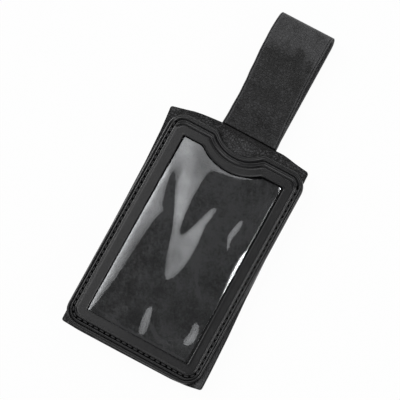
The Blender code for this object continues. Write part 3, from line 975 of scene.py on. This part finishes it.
def tape_finish(name, colour, size):
    """Woven nylon tape: a plain weave with fuzz over it."""
    finish = Finish(name)
    turns = 2 * math.pi / (size * MM)
    warp, weft = [axis.math("SINE", axis * turns) for axis in finish.axes("XY")]
    weave = warp * weft * 0.5 + 0.5
    fuzz = finish.noise(0.5, 5.0, 0.75)
    tone = finish.colour_mix(weave * 0.5 + fuzz * 0.5, opaque(colour, 0.5), opaque(colour, 2.2))
    return finish.surface(Base_Color=tone, Roughness=0.72 + fuzz * 0.2,
                          Normal=finish.bump(weave * 0.6 + fuzz * 0.6, 0.15))


def bristle(name, line):
    """A thin bent fibre along a line of (y, z) points in millimetres, with few faces."""
    def place(column, row):
        turn = 2 * math.pi * (column % FIBRE_SIDES) / FIBRE_SIDES
        before, after = line[max(row - 1, 0)], line[min(row + 1, len(line) - 1)]
        lean = math.atan2(after[1] - before[1], after[0] - before[0])
        side, out = FIBRE_RADIUS * math.cos(turn), FIBRE_RADIUS * math.sin(turn)
        y, z = line[row]
        return Vector((side, y - out * math.sin(lean), z + out * math.cos(lean))) * MM

    piece = laid_skin(name, FIBRE_SIDES + 1, len(line), place, closed=True)
    close_ends(piece)
    return piece


def planted(first, low, high, level, facing, pitch, stray, seed):
    """Copies of one fibre in staggered rows over a patch, inside its seam."""
    chance = random.Random(seed)
    margin = PATCH_SEAM + 0.9 * MM
    width, length = high.x - low.x - 2 * margin, high.y - low.y - 2 * margin
    columns, rows = int(width / pitch), int(length / pitch)
    copies = []
    for row in range(rows + 1):
        for column in range(columns + 1 - row % 2):
            place = (low.x + margin + (column + row % 2 / 2) * width / columns,
                     low.y + margin + row * length / rows)
            turn = math.pi * (row % 2) + stray * chance.uniform(-math.pi, math.pi)
            x, y = [value + stray * chance.uniform(-0.4, 0.4) * pitch for value in place]
            copy = copy_of(first)
            stance = Matrix.Translation((x, y, level)) @ Matrix.Rotation(turn, 4, "Z")
            copy.data.transform(stance @ Matrix.Diagonal((1, 1, facing, 1)))
            copies.append(copy)
    bpy.data.objects.remove(first)
    return copies


def tape_patch(name, low, high, facing, fibre, pitch, stray, material):
    """One half of the touch fastener: a woven tape with rounded corners and its fibres."""
    tape = (high.z - low.z) * TAPE_SHARE
    back = low.z if facing > 0 else high.z
    deselect()
    bpy.ops.mesh.primitive_plane_add(size=1)
    patch = named(name)
    for vertex in patch.data.vertices:
        vertex.co = ((low.x + high.x) / 2 + vertex.co.x * (high.x - low.x),
                     (low.y + high.y) / 2 + vertex.co.y * (high.y - low.y),
                     back + facing * tape / 2)
    with editing(patch, "SELECT"):
        bpy.ops.mesh.bevel(offset=PATCH_CORNER, segments=PATCH_STEPS, affect="VERTICES")
    modify(patch, "SOLIDIFY", thickness=tape, offset=0)
    modify(patch, "BEVEL", width=TAPE_EDGE, segments=2, limit_method="ANGLE")
    fibres = planted(bristle(name + "_fibre", fibre), low, high, back + facing * tape * 0.9,
                     facing, pitch, stray, len(name))
    patch = join([patch] + fibres, name)
    face_outwards(patch)
    return dress(patch, material, 40)


def patch_seam(name, low, high, level, facing, thread):
    """The row of stitches round a patch, inside its rounded edge."""
    arcs = corner_arcs(low.x + PATCH_SEAM, high.x - PATCH_SEAM, low.y + PATCH_SEAM,
                       high.y - PATCH_SEAM, PATCH_CORNER - PATCH_SEAM, PATCH_STEPS)
    route = [(x, y, 0) for corner in arcs for x, y in corner]
    return sewn_row(name, route, level, facing, thread, PATCH_PITCH, True, PATCH_THREAD)


class HOLDER_OT_fastener(bpy.types.Operator):
    """Makes the touch fastener's two patches and sews them on"""

    bl_idname = "holder.fastener"
    bl_label = "Fastener"

    def execute(self, context):
        colours = context.scene.holder_colours
        hooks = tape_patch("hook_tape", HOOK_LOW, HOOK_HIGH, -1, HOOK_LINE, HOOK_PITCH, 0.0,
                           tape_finish("hook_tape", colours.tape, HOOK_WEAVE))
        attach(hooks, "pouch")
        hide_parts("hook_patch")
        loops = tape_patch("loop_tape", LOOP_LOW, LOOP_HIGH, 1, LOOP_LINE, LOOP_PITCH, 1.0,
                           tape_finish("loop_tape", colours.tape, LOOP_WEAVE))
        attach(loops, "tail")
        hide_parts("loop_patch")
        thread = thread_finish(colours)
        face = (HOOK_HIGH.z - HOOK_LOW.z) * TAPE_SHARE
        sewn = patch_seam("hook_stitches", HOOK_LOW, HOOK_HIGH, HOOK_HIGH.z - face, -1, thread)
        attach(sewn, "pouch")
        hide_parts("hook_thread")
        sewn = patch_seam("loop_stitches", LOOP_LOW, LOOP_HIGH, LOOP_LOW.z + face, 1, thread)
        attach(sewn, "tail")
        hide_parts("loop_thread")
        return {"FINISHED"}


# The frame, in millimetres.

# Its section as (inset, height, inset, height): first on the sides, then along the top.
RIM_SECTION = (
    (0.00, 1.15, 0.00, 1.30), (0.16, 1.72, 0.10, 1.85), (0.42, 1.96, 0.30, 2.24),
    (0.85, 1.98, 0.60, 2.38), (1.08, 1.88, 0.95, 2.40), (1.25, 1.70, 1.15, 2.34),
    (1.42, 1.90, 1.40, 2.41), (1.65, 2.24, 1.75, 2.44), (1.95, 2.44, 2.05, 2.36),
    (2.20, 2.34, 2.28, 2.08), (2.38, 1.90, 2.42, 1.82), (2.52, 0.85, 2.56, 1.84),
    (2.80, 0.55, 2.72, 2.06), (3.08, 0.85, 2.95, 2.24), (3.22, 1.90, 3.25, 2.30),
    (3.42, 2.28, 3.50, 2.24), (3.75, 2.44, 3.66, 2.16), (4.02, 2.38, 3.85, 2.26),
    (4.22, 2.20, 4.10, 2.42), (4.38, 2.08, 4.45, 2.42), (4.58, 2.05, 4.70, 2.22),
    (4.80, 2.09, 4.92, 1.88), (5.10, 2.10, 5.12, 1.92), (5.60, 2.10, 5.45, 2.10),
    (6.20, 2.10, 6.40, 2.10),
)
# The real frame sits a little to the right: its left side starts further in, its right is narrower.
LEFT_SHIFT, RIGHT_SHARE = 0.5, 0.86
LOW_REACH, LOW_EASE = 0.75, 3.2  # its outer ridges reach lower than the solid's at the bottom
SEAM_INSET = 2.80
SEAM_TOPS = (48.6, 47.4)  # how high the seam starts on the left and ends on the right
# The flat band and the lip round the window, as (share of the band's width, height).
LIP_SECTION = ((0.5, 2.10), (0.86, 2.10), (0.89, 2.10), (0.91, 2.13), (0.93, 2.20), (0.95, 2.17),
               (0.962, 1.90), (0.97, 1.55), (0.99, 1.45), (1.015, 1.38), (1.01, 1.34), (0.9, 1.36))
LEFT_LIP, RIGHT_LIP, END_LIP = 1.5, 5.0, 3.0  # how much wider than that the lip is on each side
LEFT_SPAN, RIGHT_SPAN = 1.0, 0.2  # how far in from the window's outermost points its sides reach
LEAST_SHARE = 0.15
LIP_UNDERSIDE, RECESS_INSET = 1.40, 5.90
WINDOW_MARGINS = (10.0, 8.9, 8.3, 9.5)  # left, right, bottom and top of the opening
WINDOW_LEAN, WINDOW_CORNER = 0.6, 0.6
NOTCH_RADIUS, NOTCH_DEPTH, SHOULDER_RADIUS = 14.945, 5.4, 3.0
CORNER_RADIUS = 8.0
CORNER_STEPS, SHOULDER_STEPS, NOTCH_STEPS = 12, 8, 26


def vinyl_finish(colours):
    """Moulded black vinyl: satin, with a fine mat grain and uneven gloss, and painted shade, near
    black, on what lies lower than its open face: the deep grooves, the outer wall and the lip's
    inner wall.
    """
    finish = Finish("moulded_vinyl")
    cloud = finish.noise(9, 2.0)
    grain = finish.noise(0.35, 2.0)
    scuff = finish.noise(1.6, 4.0, 0.6)
    height, = finish.axes("Z")
    # Painted shade: lower than this the vinyl is painted near black.
    open_face = finish.ease(FRAME_Z + 1.5 * MM, FRAME_Z + 2.02 * MM, height)
    tone = finish.colour_mix(cloud * 0.6 + scuff * 0.4, opaque(colours.vinyl, 0.65),
                             opaque(colours.vinyl, 1.5))
    return finish.surface(
        Base_Color=finish.colour_mix(open_face, opaque(colours.vinyl, 0.15), tone),
        Roughness=0.165 + cloud * 0.08 + scuff * 0.07,
        Metallic=(1 - open_face) * DARK_METAL,
        Normal=finish.bump(grain * 0.6 + scuff * 0.4, 0.035, 0.7),
    )


def rim_outline(left, right, bottom, top, corner, inset):
    """A rounded rectangle whose top edge dips round the thumb notch."""
    radius = NOTCH_RADIUS + inset
    centre = HALF_LENGTH - NOTCH_DEPTH + NOTCH_RADIUS
    rise = centre - top + SHOULDER_RADIUS
    side = math.sqrt((radius + SHOULDER_RADIUS) ** 2 - rise**2)
    lean = math.degrees(math.atan2(rise, side))
    shoulder = top - SHOULDER_RADIUS
    high_right, high_left, low_left, low_right = corner_arcs(left, right, bottom, top, corner,
                                                             CORNER_STEPS)
    return (high_right + arc((side, shoulder), SHOULDER_RADIUS, 90, 180 - lean, SHOULDER_STEPS)
            + arc((0, centre), radius, -lean, lean - 180, NOTCH_STEPS)[1:-1]
            + arc((-side, shoulder), SHOULDER_RADIUS, lean, 90, SHOULDER_STEPS)
            + high_left + low_left + low_right)


def rim_sides(inset):
    """Where the frame's left and right side are at an inset, from its middle."""
    return LEFT_SHIFT + inset - HALF_WIDTH, HALF_WIDTH - inset * RIGHT_SHARE


def frame_ring(inset):
    """The frame's outline at an inset from its edge."""
    left, right = rim_sides(inset)
    top = HALF_LENGTH - inset
    bottom = -top - LOW_REACH * max(1 - inset / LOW_EASE, 0)
    return rim_outline(left, right, bottom, top, max(CORNER_RADIUS - inset, WINDOW_CORNER), inset)


def window_ring():
    """The window's outline: its left side leans outwards a little towards the bottom."""
    left, right, bottom, top = WINDOW_MARGINS
    ring = rim_outline(left - HALF_WIDTH, HALF_WIDTH - right, bottom - HALF_LENGTH,
                       HALF_LENGTH - top, WINDOW_CORNER, top)
    return [(x - WINDOW_LEAN * ease(0, -HALF_WIDTH, x) * (0.5 - y / HALF_LENGTH / 2), y)
            for x, y in ring]


def top_weights():
    """How far each point of a ring belongs to the top edge: its section changes in the corners."""
    turn = [ease(0.1, 1.1, i / CORNER_STEPS * 2.3) for i in range(CORNER_STEPS + 1)]
    middle = 2 * (SHOULDER_STEPS + 1) + NOTCH_STEPS - 1
    return turn + [1.0] * middle + turn[::-1] + [0.0] * (2 * (CORNER_STEPS + 1))


def frame_rings():
    """The frame's rings from the outer foot over the ridges to the window and back below."""
    weights = top_weights()
    window = window_ring()
    left, right = min(window)[0], max(window)[0]

    def ring(side_inset, side_height, top_inset, top_height):
        sides, top = frame_ring(side_inset), frame_ring(top_inset)
        return [(*blended(a, b, w), side_height + (top_height - side_height) * w)
                for a, b, w in zip(sides, top, weights)]

    def lip_width(x, weight):
        if weight or left + LEFT_SPAN <= x <= right - RIGHT_SPAN:
            return END_LIP
        return LEFT_LIP if x < left + LEFT_SPAN else RIGHT_LIP

    rings = [ring(0, 0, 0, 0)] + [ring(*stop) for stop in rounded_run(RIM_SECTION, 2)]
    band = rings[-1]
    widths = [lip_width(x, w) for (x, y), w in zip(window, weights)]
    for share, height in LIP_SECTION:
        rings.append([(*blended(a, b, max(1 - (1 - share) * wide, LEAST_SHARE)), height)
                      for a, b, wide in zip(band, window, widths)])
    for height in (LIP_UNDERSIDE, 0):
        rings.append(ring(RECESS_INSET, height, RECESS_INSET, height))
    return rings + rings[:1]


class HOLDER_OT_frame(bpy.types.Operator):
    """Moulds the vinyl frame with its ridges, seam groove and thumb notch"""

    bl_idname = "holder.frame"
    bl_label = "Frame"

    def execute(self, context):
        rings = frame_rings()

        def place(column, row):
            x, y, z = rings[row][column % len(rings[row])]
            return Vector((x * MM, y * MM + POUCH_Y, z * MM + FRAME_Z))

        piece = laid_skin("moulded_frame", len(rings[0]) + 1, len(rings), place, closed=True)
        face_outwards(piece)
        dress(piece, vinyl_finish(context.scene.holder_colours), 60)
        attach(piece, "pouch")
        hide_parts("window_frame")
        return {"FINISHED"}


# The film.

# Where it shines, in millimetres right of and below the frame's top left corner.
SHINE = (
    ((9, 7), (24, 7), (30, 11), (36, 12.3), (43, 10.6), (48, 7.3), (51, 8.4), (49, 10.8),
     (46, 13.1), (41, 15), (35, 15.9), (31, 16.4), (28.8, 17), (27.8, 19), (27.3, 24), (27.3, 32),
     (27.8, 40), (28.3, 43.5), (28.7, 46.6), (29.6, 48.6), (31.1, 48.6), (32.4, 46), (33.2, 43.6),
     (34.5, 40), (36, 35), (37, 32.3), (38.4, 30.8), (39.5, 31.4), (39.2, 36), (38.3, 40),
     (38.8, 44), (39.4, 50), (39.2, 57), (38.4, 63), (36.6, 68), (34.5, 70.4), (32.6, 68.6),
     (31.5, 66), (29, 60), (26, 50), (23, 42), (20, 36), (17.5, 30.5), (15.5, 26.6), (13.6, 24.8),
     (13.0, 27), (14.4, 34), (16.4, 41), (18.3, 42.6), (16.6, 48), (15.2, 60), (13.6, 80), (12, 90),
     (10.3, 98.5), (8, 98.5)),
    ((51.3, 31.0), (52.2, 30.5), (52.9, 32), (52.9, 35.0), (52.2, 38), (51.8, 40.5), (52.5, 43.5),
     (53.2, 46.3), (52.4, 46.6), (51.2, 44), (50.0, 41.5), (49.5, 39), (49.8, 36), (50.5, 33)),
    ((33.2, 84.6), (34.1, 84.0), (35.1, 84.8), (36.0, 87.5), (36.8, 91), (37.4, 94.5), (37.4, 96.4),
     (36.4, 97.3), (35.0, 97.2), (34.0, 95.5), (33.3, 92.5), (32.8, 89.5), (32.8, 86.5)),
    ((54.8, 82.2), (55.5, 80.8), (56.9, 81.4), (58.0, 83.2), (58.8, 85.8), (58.9, 88.4),
     (58.0, 90.8), (56.6, 92.2), (55.2, 92.2), (54.4, 91.0), (54.4, 89.0), (55.2, 87),
     (54.9, 84.6)),
)
# Where it rises steeply to the lip and mirrors the bright strip lamp: its edge and one corner.
EDGE_SHINE = (
    ((59.6, 8.2), (61.1, 8.2), (61.5, 9.6), (61.1, 11.0), (60.0, 10.8), (59.4, 9.6)),
    ((60.5, 28), (60.9, 28), (61.0, 40), (61.2, 52), (61.0, 68), (60.5, 68), (60.2, 66),
     (59.8, 62.5), (59.3, 58), (59.0, 54), (58.9, 50), (59.0, 46), (59.4, 43), (60.1, 41.5),
     (60.3, 36), (60.5, 31)),
    ((60.6, 11), (60.9, 11), (60.9, 30), (60.5, 30)),
    ((60.5, 66), (60.9, 66), (60.9, 97), (60.7, 97)),
)
EDGE_SHINE_FROM = 22 * MM
SHINE_CORNER = Vector((-35.43, 23.23, 0)) * MM
SHINE_TURN = math.radians(0.49)
# Where the film is duller or glossier: the place, its reach in millimetres and the change.
GLOSS_SPOTS = (((-21.5, -1.0), 5.0, -0.5), ((-21.0, 4.5), 6.0, -0.2), ((0.8, -22.5), 6.5, 0.3),
               ((-0.2, -40), 13.0, -0.24), ((-9, 8), 12.0, -0.22), ((-15, 13.5), 7.0, -0.2))
# The window's left edge, beside which the film is glossiest, and how soon that fades.
GLOSS_EDGE, GLOSS_EDGE_LEAN, GLOSS_FADE = (-24.87, -6.8), 0.0115, 0.95
FILM_THICKNESS, FILM_OVERLAP = 0.2 * MM, 1.0 * MM
FILM_LEVEL = LINER_HIGH.z + 0.95 * MM
FILM_FLOOR = LINER_HIGH.z + FILM_THICKNESS + 0.05 * MM
FILM_CEILING = FRAME_Z + (LIP_UNDERSIDE - 0.1) * MM  # under the frame


def film_finish(colours):
    """Clear flexible vinyl: nearly all of it lets light through and its faces mirror a little."""
    finish = Finish("clear_film")
    mirrored = finish.node("ShaderNodeFresnel", None, 1.5) * film_gloss(finish)
    haze = finish.noise(13, 3.0, 0.55)
    dust = finish.ease(0.62, 0.8, finish.noise(0.9, 5.0, 0.7))
    return finish.surface(
        Base_Color=opaque(colours.film),
        Metallic=1.0,
        Roughness=0.045,
        Alpha=mirrored * (0.4 + haze * 2.1) + dust * 0.01,
    )


def film_gloss(finish):
    """How much the film mirrors: more on its left, in a slanting smear and beside its edge."""
    x, y = finish.axes("XY")
    gloss = finish.ease_mm(-13, -23, x) * 0.48 + 0.82
    smear = abs((x + 18.0 * MM) * 0.958 + (y - 8.2 * MM) * 0.287)
    gloss += (finish.ease_mm(4.5, 0.5, smear) * finish.ease_mm(-28, -15, y)
              * finish.ease_mm(10, 2, y) * 0.42)
    for spot, reach, gain in GLOSS_SPOTS:
        gap = finish.node("ShaderNodeVectorMath", {"operation": "DISTANCE"}, finish.place,
                          (spot[0] * MM, spot[1] * MM, FILM_LEVEL), output=1)
        gloss += finish.ease_mm(reach, 0.15 * reach, gap) * gain
    edge_x, edge_y = GLOSS_EDGE
    outward = (x - edge_x * MM - (y - edge_y * MM) * GLOSS_EDGE_LEAN) * (-1 / (GLOSS_FADE * MM))
    edge = (outward.math("EXPONENT", outward) * 2.7 + 0.5).least(2.0)
    beside = finish.ease_mm(3, -3, y) * finish.ease_mm(-17, -18.5, x + y * 0.12)
    return gloss * ((edge - 1) * beside + 1)


def shine_depth(x, y, outlines):
    """How far inside a shining place of the film a point lies, in millimetres."""
    across, down = (x - SHINE_CORNER.x) / MM, (SHINE_CORNER.y - y) / MM
    cosine, sine = math.cos(SHINE_TURN), math.sin(SHINE_TURN)
    point = (across * cosine - down * sine, down * cosine + across * sine)
    return max(edge_distance(point, outline) for outline in outlines)


class Film:
    """The clear film's waves: it leans towards the lamps where the film shines."""

    STEP = 0.4 * MM
    LEAN_IN, LEAN_OUT = 0.024, 0.030  # how much it leans past the mirroring slope, and back
    REACH_IN, REACH_OUT = 1.2, 2.6  # how far from an outline it has reached that lean
    STEEP_EASE = 0.35
    EVEN = 8  # how many rows on each side share a row's middle height
    CALMING = 4  # how often the rows are eased towards each other

    def __init__(self, camera):
        self.camera = camera
        self.columns = int((FILM_HIGH.x - FILM_LOW.x) / self.STEP) + 1
        self.rows = int((FILM_HIGH.y - FILM_LOW.y) / self.STEP) + 1
        rows = [self.row_heights(row) for row in range(self.rows)]
        middles = [(max(row) + min(row)) / 2 for row in rows]
        for j, row in enumerate(rows):
            near = middles[max(j - self.EVEN, 0):j + self.EVEN + 1]
            rows[j] = [height - sum(near) / len(near) for height in row]
        self.heights = rows
        for _ in range(self.CALMING):
            self.heights = self.calmed()

    def mirror_lean(self, x, y, lamp):
        """The slope at which a point of the film mirrors a place on a lamp to the camera."""
        here = Vector((x, y, FILM_HIGH.z))
        eye = (self.camera - here).normalized()
        light = (lamp - here).normalized()
        return -(eye.x + light.x) / (eye.z + light.z)

    def row_heights(self, row):
        """The film's height along one row, level again at the far side."""
        y = FILM_LOW.y + row * self.STEP
        fixed, free = [], []
        for i in range(self.columns):
            x = FILM_LOW.x + i * self.STEP
            depth = shine_depth(x, y, SHINE)
            lean = self.mirror_lean(x, y, Vector((MAIN_LAMP_EDGE.x, y, MAIN_LAMP_EDGE.z)))
            inside = self.LEAN_IN * (1 - math.exp(-depth / self.REACH_IN)) if depth > 0 else 0.0
            steep = 0.0
            if x > EDGE_SHINE_FROM:
                steep = ease(-self.STEEP_EASE, self.STEEP_EASE, shine_depth(x, y, EDGE_SHINE))
            fixed.append(lean + inside + (self.mirror_lean(x, y, STRIP_LAMP) - lean) * steep)
            outside = self.LEAN_OUT * (1 - math.exp(min(depth, 0) / self.REACH_OUT))
            free.append(outside * (1 - steep))
        spare = sum(fixed) / max(sum(free), 1e-6)
        heights, height = [], 0.0
        for lean, give in zip(fixed, free):
            heights.append(height)
            height += (lean - give * spare) * self.STEP
        return heights

    def calmed(self):
        """The heights with each row eased towards its neighbours."""
        rows = self.heights
        return [[(rows[max(j - 1, 0)][i] + 2 * rows[j][i] + rows[min(j + 1, self.rows - 1)][i]) / 4
                 for i in range(self.columns)] for j in range(self.rows)]

    def height(self, x, y):
        """The height at a point, between the grid's own heights."""
        i = min(max((x - FILM_LOW.x) / self.STEP, 0), self.columns - 1.001)
        j = min(max((y - FILM_LOW.y) / self.STEP, 0), self.rows - 1.001)
        a, b = int(i), int(j)
        near, far = [row[a] + (row[a + 1] - row[a]) * (i - a) for row in self.heights[b:b + 2]]
        return near + (far - near) * (j - b)


def film_top(x):
    """The film's upper edge under the frame: it dips round the thumb notch."""
    top = FILM_HIGH.y
    centre = POUCH_Y + FRAME_LENGTH / 2 + (NOTCH_RADIUS - NOTCH_DEPTH) * MM
    radius = (NOTCH_RADIUS + WINDOW_MARGINS[3]) * MM - FILM_OVERLAP
    if abs(x) >= radius:
        return top
    dip = centre - math.sqrt(radius * radius - x * x)
    rounding = 0.8 * MM
    return -rounding * math.log(math.exp(-top / rounding) + math.exp(-dip / rounding))


def under_frame(x, y):
    """Whether a point of the film lies under the frame."""
    left, right, bottom, top = [margin * MM for margin in WINDOW_MARGINS]
    return (x < FRAME_LOW.x + left or x > FRAME_HIGH.x - right or y < FRAME_LOW.y + bottom
            or y > min(film_top(x) - FILM_OVERLAP, FRAME_HIGH.y - top))


class HOLDER_OT_film(bpy.types.Operator):
    """Lays the clear film behind the frame, in shallow waves"""

    bl_idname = "holder.film"
    bl_label = "Film"

    def execute(self, context):
        waves = Film(camera_place(context.scene.holder_sizes))
        columns, rows = waves.columns, waves.rows

        def place(column, row):
            x = FILM_LOW.x + (FILM_HIGH.x - FILM_LOW.x) * column / (columns - 1)
            y = FILM_LOW.y + (film_top(x) - FILM_LOW.y) * row / (rows - 1)
            z = max(FILM_LEVEL + waves.height(x, y), FILM_FLOOR)
            return Vector((x, y, min(z, FILM_CEILING) if under_frame(x, y) else z))

        film = laid_skin("clear_film", columns, rows, place)
        modify(film, "SOLIDIFY", thickness=FILM_THICKNESS, offset=-1)
        dress(film, film_finish(context.scene.holder_colours), 60)
        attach(film, "pouch")
        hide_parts("window_film")
        return {"FINISHED"}


# The pouch's seam.

def seam_route():
    """Down the left of the frame, along the bottom and up the right, in metres."""
    left, right = rim_sides(SEAM_INSET)
    y = HALF_LENGTH - SEAM_INSET
    _, _, low_left, low_right = corner_arcs(left, right, -y, y, CORNER_RADIUS - SEAM_INSET,
                                            CORNER_STEPS)
    points = [(left, SEAM_TOPS[0])] + low_left + low_right + [(right, SEAM_TOPS[1])]
    return [(px * MM, py * MM + POUCH_Y, 0) for px, py in points]


class HOLDER_OT_seam(bpy.types.Operator):
    """Sews the pouch's seam, on the front and on the back"""

    bl_idname = "holder.seam"
    bl_label = "Seam"

    def execute(self, context):
        pitch = context.scene.holder_sizes.stitch_pitch
        thread, route = thread_finish(context.scene.holder_colours), seam_route()
        front = sewn_row("frame_stitches", route, FRAME_Z + 1.6 * MM, 1, thread, pitch)
        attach(front, "pouch")
        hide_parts("frame_thread")
        back = sewn_row("back_stitches", route, BACK_LOW.z + 0.1 * MM, -1, thread, pitch)
        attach(back, "pouch")
        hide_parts("back_thread")
        return {"FINISHED"}


OPERATORS = (HOLDER_OT_stage, HOLDER_OT_leather, HOLDER_OT_strap, HOLDER_OT_fastener,
             HOLDER_OT_frame, HOLDER_OT_film, HOLDER_OT_seam)


class HOLDER_PT_panel(bpy.types.Panel):
    """Lists the holder's sizes, colours and pieces"""

    bl_idname = "HOLDER_PT_panel"
    bl_label = "ID holder"
    bl_space_type = "VIEW_3D"
    bl_region_type = "UI"
    bl_category = "ID Holder"

    def draw(self, context):
        for group in (context.scene.holder_sizes, context.scene.holder_colours):
            for name in group.__annotations__:
                self.layout.prop(group, name)
        for step in OPERATORS:
            self.layout.operator(step.bl_idname)


CLASSES = (HolderColours, HolderSizes, *OPERATORS, HOLDER_PT_panel)


def register():
    for item in CLASSES:
        bpy.utils.register_class(item)
    bpy.types.Scene.holder_colours = PointerProperty(type=HolderColours)
    bpy.types.Scene.holder_sizes = PointerProperty(type=HolderSizes)


def unregister():
    del bpy.types.Scene.holder_sizes
    del bpy.types.Scene.holder_colours
    for item in reversed(CLASSES):
        bpy.utils.unregister_class(item)


def main():
    register()
    bpy.ops.holder.stage()
    bpy.ops.holder.leather()
    bpy.ops.holder.strap()
    bpy.ops.holder.fastener()
    bpy.ops.holder.frame()
    bpy.ops.holder.film()
    bpy.ops.holder.seam()


if __name__ == "__main__":
    main()
